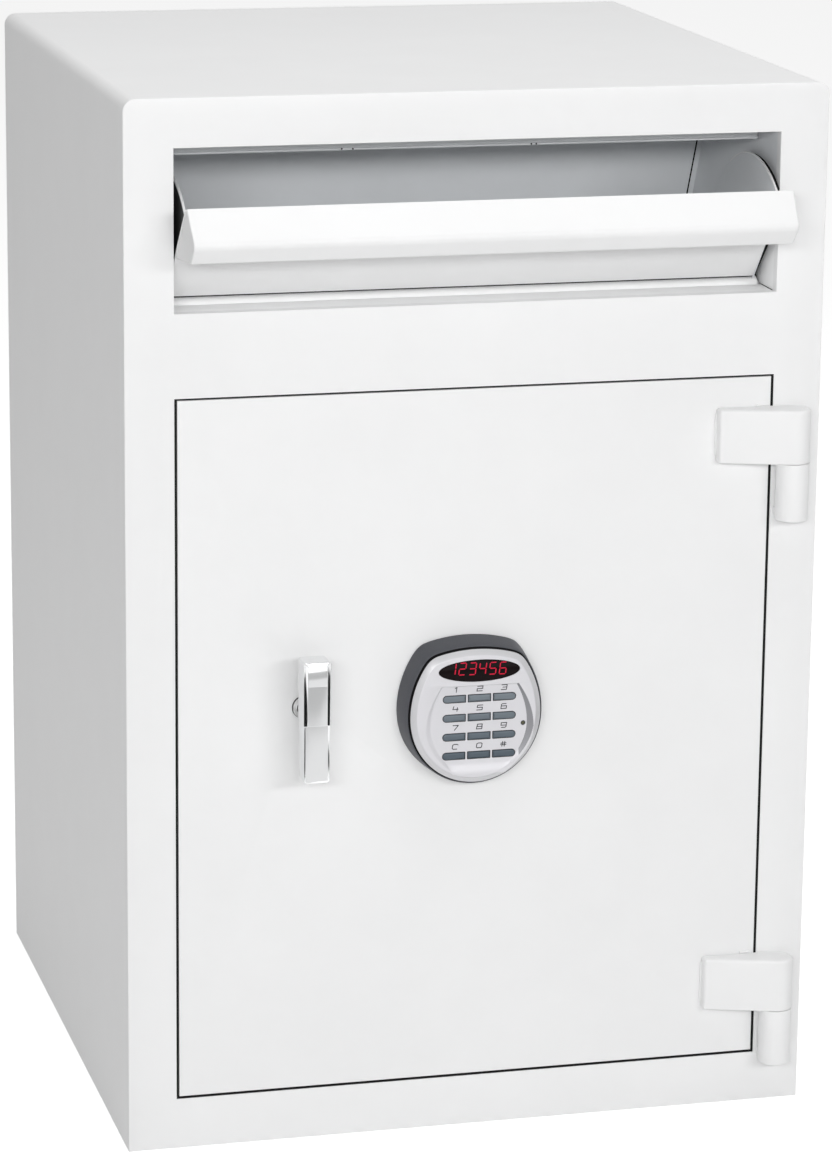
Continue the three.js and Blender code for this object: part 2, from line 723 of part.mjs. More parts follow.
// Keypad outline: a round lower half, steeper upper sides and a flat arc across the top, offset by grow
function keypadOutline(grow, lift = 0) {
  const halfWidth = bezelHalfWidth + grow;
  const halfHeight = bezelHalfHeight + grow;
  const sideRadius = bezelSideRadius + grow;
  const sideCentre = bezelSideRadius - bezelHalfWidth;
  const topRadius = bezelTopRadius + grow;
  const topCentre = bezelTopRadius - bezelHalfHeight;
  // The two circles meet where the line between their centres splits them.
  const apart = Math.hypot(sideCentre, topCentre);
  const along = (apart ** 2 + sideRadius ** 2 - topRadius ** 2) / (2 * apart);
  const across = Math.sqrt(sideRadius ** 2 - along ** 2);
  const cornerX = -sideCentre + (along * sideCentre + across * topCentre) / apart;
  const cornerZ = (-along * topCentre + across * sideCentre) / apart;
  const sideSweep = Math.atan2(cornerZ, cornerX + sideCentre);
  const topSweep = Math.atan2(cornerX, cornerZ + topCentre);
  const points = [];
  const sideSteps = 7;
  const topSteps = 8;
  const lowerSteps = 20;
  for (let i = 0; i < sideSteps; i += 1) {
    const angle = (sideSweep * i) / sideSteps;
    points.push([-sideCentre + sideRadius * Math.cos(angle), sideRadius * Math.sin(angle)]);
  }
  for (let i = 0; i < topSteps; i += 1) {
    const angle = topSweep * (1 - (2 * i) / topSteps);
    points.push([topRadius * Math.sin(angle), topRadius * Math.cos(angle) - topCentre]);
  }
  for (let i = 0; i < sideSteps; i += 1) {
    const angle = sideSweep * (1 - i / sideSteps);
    points.push([sideCentre - sideRadius * Math.cos(angle), sideRadius * Math.sin(angle)]);
  }
  for (let i = 0; i < lowerSteps; i += 1) {
    const angle = Math.PI * (1 + i / lowerSteps);
    points.push([halfWidth * Math.cos(angle), halfHeight * Math.sin(angle)]);
  }
  return points.map(([x, z]) => [x, z + lift]);
}

// Keypad base: a flared tub, open to the front, with a hole for the cable
function baseGeometry() {
  const tub = loft([
    { y: -seam, points: keypadOutline(baseFlare, baseLift) },
    { y: -baseProud, points: keypadOutline(baseFrontFlare, 0) },
  ]);
  const hollow = loft([
    { y: -baseWall, points: keypadOutline(-baseWall, 0) },
    { y: -baseProud - 1, points: keypadOutline(-baseWall, 0) },
  ]);
  return cut(tub, [hollow, barY(cableHoleRadius, -baseWall - 1, 1, 16)]);
}

// Bezel: a chamfered cap with a sunk panel for the keys, and holes for keys, display and lamp
function bezelGeometry() {
  const rear = -baseProud - seam;
  const cap = loft([
    { y: rear, points: keypadOutline(0) },
    { y: rear - bezelSkirt, points: keypadOutline(0) },
    { y: -bezelProud, points: keypadOutline(-bezelChamfer) },
  ]);
  const hollow = loft([
    { y: rear + 1, points: keypadOutline(-baseWall) },
    { y: -bezelProud + bezelFace, points: keypadOutline(-bezelChamfer) },
  ]);
  const front = -bezelProud - 1;
  const tools = [hollow, extrudeY(panelOutline(), front, -bezelProud + panelSink, 10)];
  for (const { outline } of keyPlaces(seam)) tools.push(extrudeY(outline, front, rear, 5));
  const clear = seam;
  const window = ellipse(panelShift, displayRise, displayHalfWidth + clear, displayHalfHeight + clear);
  tools.push(extrudeY(window, front, rear, 16));
  tools.push(barY(lampRadius + clear, front, rear, 12).translate(lampX, 0, lampZ));
  return cut(cap, tools);
}

// Sunk panel: straight above and below, with sides that bow outwards
function panelOutline() {
  const halfChord = (panelTop - panelBottom) / 2;
  const bow = panelHalfWidth - panelCornerHalfWidth;
  const radius = (halfChord ** 2 + bow ** 2) / (2 * bow);
  const sweep = Math.asin(halfChord / radius);
  const middleZ = (panelTop + panelBottom) / 2;
  const path = new THREE.Shape();
  path.absarc(panelShift + panelHalfWidth - radius, middleZ, radius, -sweep, sweep, false);
  path.absarc(panelShift - panelHalfWidth + radius, middleZ, radius, Math.PI - sweep, Math.PI + sweep, false);
  return path;
}

// Keys: three columns and four rows. The outer end of each outer key is round.
function keyOutline(column, grow) {
  const half = keyWidth / 2 + grow;
  const high = keyHeight / 2 + grow;
  const path = new THREE.Shape();
  if (column > 0) path.absarc(half - high, 0, high, -Math.PI / 2, Math.PI / 2, false);
  else path.moveTo(half, -high).lineTo(half, high);
  if (column < 0) path.absarc(-half + high, 0, high, Math.PI / 2, 1.5 * Math.PI, false);
  else path.lineTo(-half, high).lineTo(-half, -high);
  return path;
}

function keyPlaces(grow) {
  const names = [['1', '2', '3'], ['4', '5', '6'], ['7', '8', '9'], ['clear', '0', 'hash']];
  const places = [];
  names.forEach((row, rowIndex) => row.forEach((name, columnIndex) => {
    const column = columnIndex - 1;
    const x = panelShift + column * keyPitchX;
    const z = keyTopRise - rowIndex * keyPitchZ;
    const outline = new THREE.Shape(keyOutline(column, grow).getPoints(5).map(
      (point) => new THREE.Vector2(point.x + x, point.y + z)));
    places.push({ name: `key_${name}`, column, x, z, outline });
  }));
  return places;
}

function addKeypad(door) {
  const keypad = new THREE.Group();
  keypad.position.set(keypadX, frontY, keypadZ);
  piece(keypad, 'keypad_base', baseGeometry(), darkPlastic);
  const board = new THREE.Shape(keypadOutline(-baseWall - seam).map(([x, z]) => new THREE.Vector2(x, z)));
  piece(keypad, 'keypad_board', extrudeY(board, -boardProud - boardThickness, -boardProud), boardGreen);
  piece(keypad, 'keypad_bezel', bezelGeometry(), silverPlastic);
  const window = ellipse(0, 0, displayHalfWidth, displayHalfHeight);
  piece(keypad, 'display_window', extrudeY(window, -displayThickness, 0, 16), blackGloss,
    [panelShift, -bezelProud + displayThickness, displayRise]);
  piece(keypad, 'status_lamp', barY(lampRadius, 0, lampLength, 12), lampPlastic,
    [lampX, -bezelProud + panelSink - lampProud, lampZ]);
  const keyFront = -bezelProud + panelSink - keyProud;
  for (const { name, column, x, z } of keyPlaces(0)) {
    const cap = extrudeY(keyOutline(column, 0), 0, keyLength, 5);
    piece(keypad, name, cap, keyPlastic, [x, keyFront, z]);
  }
  const cableEnd = doorThickness;
  piece(keypad, 'keypad_cable', barY(cableRadius, -boardProud + seam, cableEnd, 8), cableBlack);
  door.add(keypad);
}

// Lock: a case behind the keypad, with a bolt that slides out behind the carrier's arm
function addLock(door) {
  const low = -lockHeight / 2;
  const case_ = box(-lockWidth / 2, lockWidth / 2, 0, lockDepth - doorThickness, low, -low);
  const boltY0 = boltDepth - lockBoltThickness / 2 - doorThickness;
  const pocket = box(-lockWidth / 2 - 1, -lockWidth / 2 + lockBoltLength - lockBoltProud + seam,
    boltY0 - seam, boltY0 + lockBoltThickness + seam,
    -lockBoltHeight / 2 - seam, lockBoltHeight / 2 + seam);
  const place = [keypadX, doorBack, keypadZ];
  piece(door, 'lock_case', cut(case_, [pocket]), zincSteel, place);
  const left = -lockWidth / 2 - lockBoltProud;
  const bolt = box(left, left + lockBoltLength, boltY0, boltY0 + lockBoltThickness,
    -lockBoltHeight / 2, lockBoltHeight / 2);
  piece(door, 'lock_bolt', bolt, bareSteel, place);
  const packLow = lockHeight / 2 + seam;
  const packTop = packLow + batteryHeight;
  const pack = box(-lockWidth / 2, lockWidth / 2, 0, batteryDepth - doorThickness, packLow, packTop);
  piece(door, 'battery_pack', pack, darkPlastic, place);
}

function addHandle(door) {
  const handle = new THREE.Group();
  handle.position.set(handleX, frontY, handleZ);
  piece(door, 'handle_rosette', rosetteGeometry(), chrome, [handleX, frontY, handleZ]);
  piece(handle, 'handle_grip', gripGeometry(), chrome, [0, -gripStandoff, 0]);
  const side = spindleSide / 2;
  const spindleFront = -gripStandoff + neckRadius + seam;
  const spindleBack = camDepth + camThickness + 1;
  piece(handle, 'handle_spindle', box(-side, side, spindleFront, spindleBack, -side, side), bareSteel);
  piece(handle, 'drive_cam', camGeometry(), zincSteel, [0, camDepth, 0]);
  const pinBack = boltDepth + carrierThickness / 2 + 1;
  const pinPlace = [boltThrow / 2, 0, boltThrow / 2];
  piece(handle, 'cam_pin', barY(camPinRadius, camDepth, pinBack, 16), bareSteel, pinPlace);
  door.add(handle);
}

function addBoltwork(door) {
  piece(door, 'bolt_carrier', carrierGeometry(), zincSteel);
  for (const [level, z] of Object.entries(boltHeights)) {
    const bolt = barX(boltRadius, boltNose, carrierLeft - seam, 24);
    piece(door, `locking_bolt_${level}`, bolt, chrome, [0, boltY, z]);
    piece(door, `bolt_guide_${level}`, guideGeometry(), zincSteel, [0, 0, z]);
  }
  piece(door, 'hinge_dog_top', dogGeometry(), zincSteel, [0, 0, boltHeights.top]);
  piece(door, 'hinge_dog_bottom', dogGeometry(), zincSteel, [0, 0, boltHeights.bottom]);
  piece(door, 'boltwork_cover', coverGeometry(), innerPaint);
}

const safe = new THREE.Group();
const cabinet = new THREE.Group();
const door = new THREE.Group();
safe.add(cabinet, door);
addCabinet(cabinet);
addFlap(cabinet);
piece(door, 'door_slab', slabGeometry(), whitePaint);
addHinge(cabinet, door, 'upper', doorwayTop - upperLeafDrop);
addHinge(cabinet, door, 'lower', doorwayBottom + lowerLeafRise);
addHandle(door);
addBoltwork(door);
addLock(door);
addKeypad(door);

export default safe;
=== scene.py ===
from math import acos, atan2, cos, degrees, hypot, pi, radians, sin, sqrt, tan
import bmesh
import bpy
import numpy as np
from mathutils import Matrix, Vector
from mathutils.geometry import tessellate_polygon


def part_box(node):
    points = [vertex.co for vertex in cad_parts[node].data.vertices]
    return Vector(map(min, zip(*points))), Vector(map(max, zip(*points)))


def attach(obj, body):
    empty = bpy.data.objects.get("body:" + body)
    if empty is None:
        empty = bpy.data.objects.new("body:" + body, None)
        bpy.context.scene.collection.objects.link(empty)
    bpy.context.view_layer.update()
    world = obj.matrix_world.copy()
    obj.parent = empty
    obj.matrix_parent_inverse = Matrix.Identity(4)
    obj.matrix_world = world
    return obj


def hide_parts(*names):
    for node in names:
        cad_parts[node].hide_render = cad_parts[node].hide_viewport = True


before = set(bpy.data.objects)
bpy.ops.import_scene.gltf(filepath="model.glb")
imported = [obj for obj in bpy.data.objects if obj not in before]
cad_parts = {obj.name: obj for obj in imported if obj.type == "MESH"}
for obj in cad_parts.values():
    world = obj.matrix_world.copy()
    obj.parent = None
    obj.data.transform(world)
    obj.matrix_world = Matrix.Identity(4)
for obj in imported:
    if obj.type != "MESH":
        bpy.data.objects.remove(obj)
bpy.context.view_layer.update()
millimetre = 0.001
print("frame loaded")


def take(sizes, names):  # several values of a dictionary
    return [sizes[name] for name in names.split()]


camera = {"place": (-0.79205, -3.11865, 1.16659), "lens": 133.86,
          "right": (0.96830, -0.24958, 0.01032), "up": (0.05165, 0.24047, 0.96928),
          "back": (-0.24439, -0.93802, 0.24574)}


def makeCamera():
    data = bpy.data.cameras.new("camera")
    data.lens = camera["lens"]
    data.sensor_width = 36
    data.clip_end = 50
    eye = bpy.data.objects.new("camera", data)
    bpy.context.scene.collection.objects.link(eye)
    turn = Matrix((camera["right"], camera["up"], camera["back"])).transposed()
    eye.matrix_world = Matrix.Translation(camera["place"]) @ turn.to_4x4()
    bpy.context.scene.camera = eye


# Shader maths: a Wire is one output socket, and sums and products of wires add Math nodes.
class Wire:
    def __init__(self, paint, socket):
        self.paint = paint
        self.socket = socket

    def __add__(self, other):
        return self.paint.node("Math", {"operation": "ADD"}, {0: self, 1: other})

    def __mul__(self, other):
        return self.paint.node("Math", {"operation": "MULTIPLY"}, {0: self, 1: other})


class Paint:
    def __init__(self, name, owner=None):
        self.owner = owner or bpy.data.materials.new(name)
        self.owner.use_nodes = True
        self.tree = self.owner.node_tree
        self.tree.nodes.clear()

    # Any node: its type, its settings first, then the values or wires of its sockets.
    def node(self, kind, settings=None, sockets=None, out=0):
        made = self.tree.nodes.new("ShaderNode" + kind)
        for key, value in (settings or {}).items():
            if key == "stops":
                for stop, (position, colour) in zip(made.color_ramp.elements, value):
                    stop.position, stop.color = position, colour
            else:
                setattr(made, key, value)
        for key, value in (sockets or {}).items():
            if isinstance(value, Wire):
                self.tree.links.new(value.socket, made.inputs[key])
            else:
                made.inputs[key].default_value = value
        return Wire(self, made.outputs[out] if len(made.outputs) else None)

    def place(self):
        return self.node("TexCoord", out="Object")

    def noise(self, scale, detail=2, roughness=0.5, vector=None):
        return self.node("TexNoise", None, {"Vector": vector or self.place(), "Scale": scale,
                                            "Detail": detail, "Roughness": roughness})

    def blend(self, factor, first, second):
        return self.node("Mix", {"data_type": "RGBA"}, {0: factor, 6: first, 7: second}, out=2)

    def step(self, value, low, high):  # 0 below low, 1 above high
        return self.node("MapRange", {"clamp": True}, {"Value": value, "From Min": low, "From Max": high})

    def bump(self, strength, height, distance=0.0001, **more):
        return self.node("Bump", None, {"Strength": strength, "Distance": distance, "Height": height, **more})

    def edge(self, radius):  # edges that catch light
        return self.node("Bevel", {"samples": 4}, {"Radius": radius})

    def finish(self, sockets):
        self.node("OutputMaterial", None, {"Surface": self.node("BsdfPrincipled", None, sockets)})
        return self.owner


def grey(level, tint=0):  # a near-neutral colour, tint pulls it towards blue
    return (level * (1 - tint), level, level * (1 + tint), 1)


# Powder coat: faint clouds in colour and gloss, orange peel about a millimetre across.
def powderCoat(name, colour, shade, cloudScale, peelScale, peel, roughness, gloss):
    paint = Paint(name)
    cloud = paint.noise(cloudScale, 3, 0.6)
    height = paint.noise(peelScale, 1) * 0.7 + paint.noise(peelScale * 3.7, 2) * 0.3
    return paint.finish({
        "Base Color": paint.blend(paint.step(cloud, 0.3, 0.7), shade, colour), "Specular IOR Level": gloss,
        "Roughness": cloud * 0.10 + roughness,
        "Normal": paint.bump(peel, height, 0.0002, Normal=paint.edge(0.0004))})


# Plated steel: fine strokes along one axis, cloudy passivation and dull patches.
def platedSteel(name, colour, shade, cloudScale, stroke, brush, roughness):
    paint = Paint(name)
    stretched = paint.node("VectorMath", {"operation": "MULTIPLY"}, {0: paint.place(), 1: stroke})
    strokes = paint.noise(1, 3, 0.6, stretched)
    cloud = paint.noise(cloudScale, 3, 0.6)
    return paint.finish({
        "Base Color": paint.blend(paint.step(cloud, 0.35, 0.65), shade, colour), "Metallic": 1,
        "Roughness": strokes * 0.15 + cloud * 0.10 + roughness,
        "Normal": paint.bump(brush, strokes, Normal=paint.edge(0.0005))})


# Chrome: a mirror with faint polishing haze.
def polishedChrome(name, colour, hazeScale, rippleScale, ripple, roughness):
    paint = Paint(name)
    haze = paint.noise(hazeScale, 3, 0.6)
    return paint.finish({"Base Color": colour, "Metallic": 1, "Roughness": haze * 0.06 + roughness,
                         "Normal": paint.bump(ripple, paint.noise(rippleScale, 1))})


# Moulded plastic: spark-eroded grain and a little wear in the gloss.
def mouldedPlastic(name, colour, shade, metallic, grainScale, grain, roughness, gloss):
    paint = Paint(name)
    grit = paint.noise(grainScale, 2, 0.7)
    cloud = paint.noise(40, 2)
    return paint.finish({
        "Base Color": paint.blend(grit, (*shade, 1), (*colour, 1)), "Metallic": metallic,
        "Roughness": cloud * 0.12 + roughness, "Normal": paint.bump(grain, grit), "Specular IOR Level": gloss})


# Key plastic: a ramp up the keypad, darker towards the bottom rows.
def keyPlastic(name):
    paint = Paint(name)
    height = paint.node("SeparateXYZ", None, {0: paint.place()}, out=2)
    stops = ((0.1, (0.062, 0.086, 0.110, 1)), (0.9, (0.150, 0.180, 0.205, 1)))
    rowTone = paint.node("ValToRGB", {"stops": stops}, {0: paint.step(height, 0.288, 0.332)})
    grain = paint.noise(3000)
    return paint.finish({"Base Color": rowTone, "Roughness": grain * 0.1 + 0.30, "Normal": paint.bump(0.1, grain)})


# Display glass: black gloss with a faint smoky depth.
def displayGlass(name):
    paint = Paint(name)
    smoke = paint.noise(300, 2)
    return paint.finish({"Base Color": paint.blend(smoke, (0.003, 0.002, 0.002, 1), (0.010, 0.004, 0.005, 1)),
                         "Roughness": smoke * 0.04 + 0.08, "Specular IOR Level": 0.10})


# Lit segment: red, a little hotter in the middle of each stroke.
def litSegment(name):
    paint = Paint(name)
    flicker = paint.noise(900, 1)
    return paint.finish({
        "Base Color": (0.12, 0.003, 0.006, 1), "Roughness": 0.5, "Specular IOR Level": 0.1,
        "Emission Color": paint.blend(flicker, (0.40, 0.008, 0.030, 1), (0.74, 0.020, 0.065, 1)),
        "Emission Strength": 0.9})


# Circuit board: green lacquer with darker tracks.
def circuitBoard(name):
    paint = Paint(name)
    tracks = paint.node("TexBrick", None, {"Vector": paint.place(), "Scale": 220}, out=1)
    return paint.finish({"Base Color": paint.blend(tracks, (0.02, 0.10, 0.04, 1), (0.05, 0.20, 0.08, 1)),
                         "Roughness": 0.45})


# Powder coats: colour, shade, scales of clouds and peel, strength of peel, roughness, gloss.
coats = {"whiteCoat": (grey(0.88, 0.002), grey(0.86, 0.002), 14, 650, 0.10, 0.42, 0.45),
         # painted light: a lighter copy of the white coat for the tube, sill, flap rims and gussets, which sit
         # in shade
         "paintedLightCoat": (grey(0.96, 0.002), grey(0.94, 0.002), 14, 650, 0.10, 0.40, 0.5),
         # painted shade: a slightly darker, bluish copy of the white coat for inner surfaces
         "shadedInnerCoat": (grey(0.86, 0.022), grey(0.83, 0.022), 18, 600, 0.14, 0.48, 0.45),
         # painted shade: a near-black coat where the narrow gaps beside the flap go dark
         "paintedShadeCoat": (grey(0.060, 0.02), grey(0.045, 0.02), 18, 600, 0.14, 0.60, 0.2)}
# Plated steels: colour, shade, scale of clouds, stretch of strokes, their strength, roughness.
steels = {"zincPlate": (grey(0.62, 0.02), grey(0.52, 0), 45, (900, 900, 60), 0.10, 0.28),
          "groundSteel": (grey(0.55, 0), grey(0.47, -0.01), 60, (1400, 1400, 80), 0.15, 0.22)}
# Chromes: colour, scales of haze and ripple, strength of ripple, roughness.
chromes = {"chrome": (grey(0.80, 0.008), 90, 120, 0.05, 0.05),
           "satinChrome": (grey(0.66, 0), 400, 900, 0.10, 0.30)}
# Plastics: colour, shade, metallic, scale and strength of grain, roughness, gloss.
plastics = {"charcoalPlastic": ((0.072, 0.075, 0.087), (0.042, 0.044, 0.054), 0, 1300, 0.5, 0.42, 0.5),
            "silverLacquer": ((0.66, 0.655, 0.68), (0.61, 0.605, 0.63), 0.25, 5200, 0.06, 0.42, 0.4),
            "trimLacquer": ((0.60, 0.60, 0.615), (0.52, 0.52, 0.535), 0.3, 5200, 0.06, 0.30, 0.5),
            # painted shade: a darker lacquer for the right side of the sunk panel's slope
            "shadedCrescentLacquer": ((0.27, 0.27, 0.285), (0.22, 0.22, 0.235), 0.3, 5200, 0.06, 0.34, 0.5),
            "blackPlastic": ((0.010, 0.010, 0.011), (0.006, 0.006, 0.006), 0, 2500, 0.2, 0.6, 0.12),
            "legendInk": ((0.045, 0.047, 0.052), (0.030, 0.032, 0.036), 0, 4000, 0.05, 0.5, 0.3),
            "lampLens": ((0.085, 0.085, 0.045), (0.060, 0.062, 0.030), 0, 900, 0.02, 0.10, 0.5)}
white, paintedLight, inner, paintedShade = [powderCoat(name, *look) for name, look in coats.items()]
zinc, ground = [platedSteel(name, *look) for name, look in steels.items()]
chrome, satin = [polishedChrome(name, *look) for name, look in chromes.items()]
darkPlastic, silver, trim, shadedCrescent, blackPlastic, legendInk, lampLens = [
    mouldedPlastic(name, *look) for name, look in plastics.items()]
keyCap = keyPlastic("keyCap")
glass = displayGlass("displayGlass")
lit = litSegment("litSegment")
board = circuitBoard("circuitBoard")
print("paints mixed")


# Shell: gathers the surfaces of one piece, in millimetres, before they become its mesh.
class Shell:
    def __init__(self):
        self.points = []
        self.faces = []
        self.flat = []
        self.count = 0

    def add(self, points, faces, flat=False):
        points = np.asarray(points, float).reshape(-1, 3)
        self.faces += (np.asarray(faces) + self.count).tolist()
        self.flat += [flat] * len(faces)
        self.points.append(points)
        self.count += len(points)

    def piece(self, name, paint, body, slot, stands=(), sharp=30):
        mesh = bpy.data.meshes.new(name)
        mesh.from_pydata((np.concatenate(self.points) * millimetre).tolist(), [], self.faces)
        mesh.polygons.foreach_set("use_smooth", [not flat for flat in self.flat])
        work = bmesh.new()
        work.from_mesh(mesh)
        bmesh.ops.remove_doubles(work, verts=work.verts, dist=2e-6)
        bmesh.ops.recalc_face_normals(work, faces=work.faces)
        work.to_mesh(mesh)
        work.free()
        mesh.set_sharp_from_angle(angle=radians(sharp))
        mesh.materials.append(paint)
        made = bpy.data.objects.new(name, mesh)
        bpy.context.scene.collection.objects.link(made)
        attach(made, body)
        if stands:
            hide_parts(*stands)


# Quads of a grid of rings: each ring closes on itself unless the grid is open.
def ringQuads(rings, count, closed=True):
    ring = np.arange(rings - 1)[:, None] * count
    here = np.arange(count if closed else count - 1)[None, :]
    following = (here + 1) % count
    corners = [ring + here, ring + following, ring + count + following, ring + count + here]
    return np.stack(corners, -1).reshape(-1, 4)


# Ways to lay an outline (u, v) and its depth w in the cabinet.
frontAxes = (0, 2, 1)  # u to the right, v up, w back
sideAxes = (1, 2, 0)  # u back, v up, w to the right
planAxes = (0, 1, 2)  # u to the right, v back, w up


def laid(points, axes):
    result = np.empty_like(points)
    result[..., list(axes)] = points
    return result


# Rings of points (u, v), each ring at its own depth w, joined by quads.
def addRings(shell, rings, depths, axes, closed=True):
    depth = np.broadcast_to(np.asarray(depths, float)[:, None, None], rings.shape[:2] + (1,))
    points = laid(np.concatenate([rings, depth], -1), axes)
    shell.add(points, ringQuads(len(rings), rings.shape[1], closed))


# Each corner of a loop moves inwards by distance, along the sum of its two edge normals.
def insetLoop(loop, distance):
    before = loop - np.roll(loop, 1, 0)
    after = np.roll(loop, -1, 0) - loop
    normals = [np.stack([-edge[:, 1], edge[:, 0]], -1) / np.linalg.norm(edge, axis=1)[:, None]
               for edge in (before, after)]
    both = normals[0] + normals[1]
    return loop + both * distance / (1 + (normals[0] * normals[1]).sum(1))[:, None]


# Depths and insets from one face of a plate to the other: a quarter circle turns each edge.
def edgeStations(start, end, bevels, steps):
    turn = np.linspace(0, np.pi / 2, steps + 1)
    quarter = np.stack([1 - np.cos(turn), 1 - np.sin(turn)], -1)
    first = quarter * bevels[0] if bevels[0] else np.zeros((1, 2))
    last = quarter[::-1] * bevels[1] if bevels[1] else np.zeros((1, 2))
    way = np.sign(end - start)
    return np.concatenate([np.stack([start + way * first[:, 0], first[:, 1]], -1),
                           np.stack([end - way * last[:, 0], last[:, 1]], -1)])


# Flat face bounded by an outer loop and holes, at one depth.
def cap(shell, loops, depth, axes):
    triangles = tessellate_polygon([[Vector((*point, 0)) for point in loop] for loop in loops])
    flatPoints = np.concatenate(loops)
    points = np.column_stack([flatPoints, np.full(len(flatPoints), depth)])
    shell.add(laid(points, axes), triangles, flat=True)


# Plate: an outline and its holes carried straight from start to end, every edge turned by its bevel.
def plate(shell, outer, holes, start, end, bevels, axes=frontAxes, steps=3, holeBevels=None):
    ends = ([], [])
    for loop, side, turns in [(outer, 1, bevels)] + [(hole, -1, holeBevels or bevels) for hole in holes]:
        stations = edgeStations(start, end, turns, steps)
        rings = np.stack([insetLoop(loop, side * inset) for inset in stations[:, 1]])
        addRings(shell, rings, stations[:, 0], axes)
        ends[0].append(rings[0])
        ends[1].append(rings[-1])
    cap(shell, ends[0], start, axes)
    cap(shell, ends[1], end, axes)


# The same, carried from left to right across the cabinet, or outwards on both sides alike.
def across(shell, outline, left, right, bevels=(0.2, 0.2), steps=3, holes=()):
    plate(shell, outline, holes, left, right, bevels, sideAxes, steps)


def bothSides(shell, outline, near, far, bevels=(0, 0)):
    for side in (-1, 1):
        across(shell, outline, side * near, side * far, bevels)


def arc(u, v, radius, start, end, steps):  # degrees, ends included
    turn = np.radians(np.linspace(start, end, steps + 1))
    return np.stack([u + radius * np.cos(turn), v + radius * np.sin(turn)], -1)


def ellipse(u, v, halfWidth, halfHeight, steps):
    turn = np.linspace(0, 2 * np.pi, steps, endpoint=False)
    return np.stack([u + halfWidth * np.cos(turn), v + halfHeight * np.sin(turn)], -1)


def rectangle(u0, u1, v0, v1):
    return np.array([[u0, v0], [u1, v0], [u1, v1], [u0, v1]], float)


# Each corner with a radius becomes an arc that touches both of its edges.
def rounded(corners, radii, steps=6):
    corners = np.asarray(corners, float)
    result = []
    for i, radius in enumerate(radii):
        here, before, after = corners[i], corners[i - 1], corners[(i + 1) % len(corners)]
        if radius == 0:
            result.append(here[None])
            continue
        inward = (before - here) / np.linalg.norm(before - here)
        outward = (after - here) / np.linalg.norm(after - here)
        half = acos(np.clip(inward @ outward, -1, 1)) / 2
        middle = (inward + outward) / np.linalg.norm(inward + outward)
        centre = here + middle * radius / sin(half)
        first = here + inward * radius / tan(half) - centre
        last = here + outward * radius / tan(half) - centre
        angle = atan2(first[1], first[0])
        sweep = (atan2(last[1], last[0]) - angle + pi) % (2 * pi) - pi
        turn = angle + np.linspace(0, sweep, steps + 1)
        result.append(centre + radius * np.stack([np.cos(turn), np.sin(turn)], -1))
    return np.concatenate(result)


# Stack of closed loops, each at its own depth, closed by a flat face at each end if it is capped.
def stack(shell, loops, depths, capped=True):
    addRings(shell, np.asarray(loops, float), depths, frontAxes)
    for end in (0, -1) if capped else ():
        cap(shell, [loops[end]], depths[end], frontAxes)


# The same from rows: what loopOf takes, and last the depth.
def stackRows(shell, loopOf, rows, capped=False):
    stack(shell, [loopOf(*row[:-1]) for row in rows], [row[-1] for row in rows], capped)


# Turned part: radii along an axis through centre, from pole to pole.
def turned(shell, centre, profile, axes, steps):
    profile = np.asarray(profile, float)
    turn = np.linspace(0, 2 * np.pi, steps, endpoint=False)
    circle = np.stack([np.cos(turn), np.sin(turn)], -1)
    rings = profile[:, 0, None, None] * circle + np.asarray(centre, float)
    addRings(shell, rings, profile[:, 1], axes)


# Weld bead: circles along a straight run, their radius rippling as the puddles overlap.
def weldBead(shell, start, end, radius, pitch, seed):
    start, end = np.asarray(start, float), np.asarray(end, float)
    length = np.linalg.norm(end - start)
    count = max(int(length / pitch * 6), 10)
    along = np.linspace(0, 1, count)
    random = np.random.default_rng(seed)
    swell = 1 + 0.16 * np.abs(np.sin(along * length / pitch * np.pi)) + random.normal(0, 0.03, count)
    swell *= np.sqrt(np.clip(1 - (2 * along - 1) ** 12, 0, 1))
    way = (end - start) / length
    side = np.cross(way, [0.3, 0.5, 0.81] if abs(way[2]) < 0.9 else [1, 0, 0])
    side /= np.linalg.norm(side)
    other = np.cross(way, side)
    turn = np.linspace(0, 2 * np.pi, 12, endpoint=False)
    ring = np.cos(turn)[:, None] * side + np.sin(turn)[:, None] * other
    points = (start + along[:, None] * (end - start))[:, None, :] + radius * swell[:, None, None] * ring
    shell.add(points, ringQuads(count, 12))


def span(node):  # corners of a CAD node in millimetres
    low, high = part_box(node)
    return np.array(low) / millimetre, np.array(high) / millimetre


# Cabinet
cabinet = {"half": 254, "height": 762, "front": -250, "plateBack": -242, "back": 250, "wall": 4, "bend": 9,
           "edge": 0.7, "openingEdge": 0.3, "backEdge": 0.6}
doorway = {"half": 218.8, "bottom": 37.6, "top": 552.9}
mouth = {"half": 218.8, "bottom": 612.6, "top": 727.6}
shadeLining = {"thickness": 1.5, "head": 0.9, "clear": 0.05, "front": -249.6, "back": -242.6, "edge": 0.1}


def opening(hole, inset=0, head=None):  # rectangle of a hole in the front plate, or one inside it
    half, top = hole["half"] - inset, hole["top"] - (inset if head is None else head)
    return rectangle(-half, half, hole["bottom"] + inset, top)


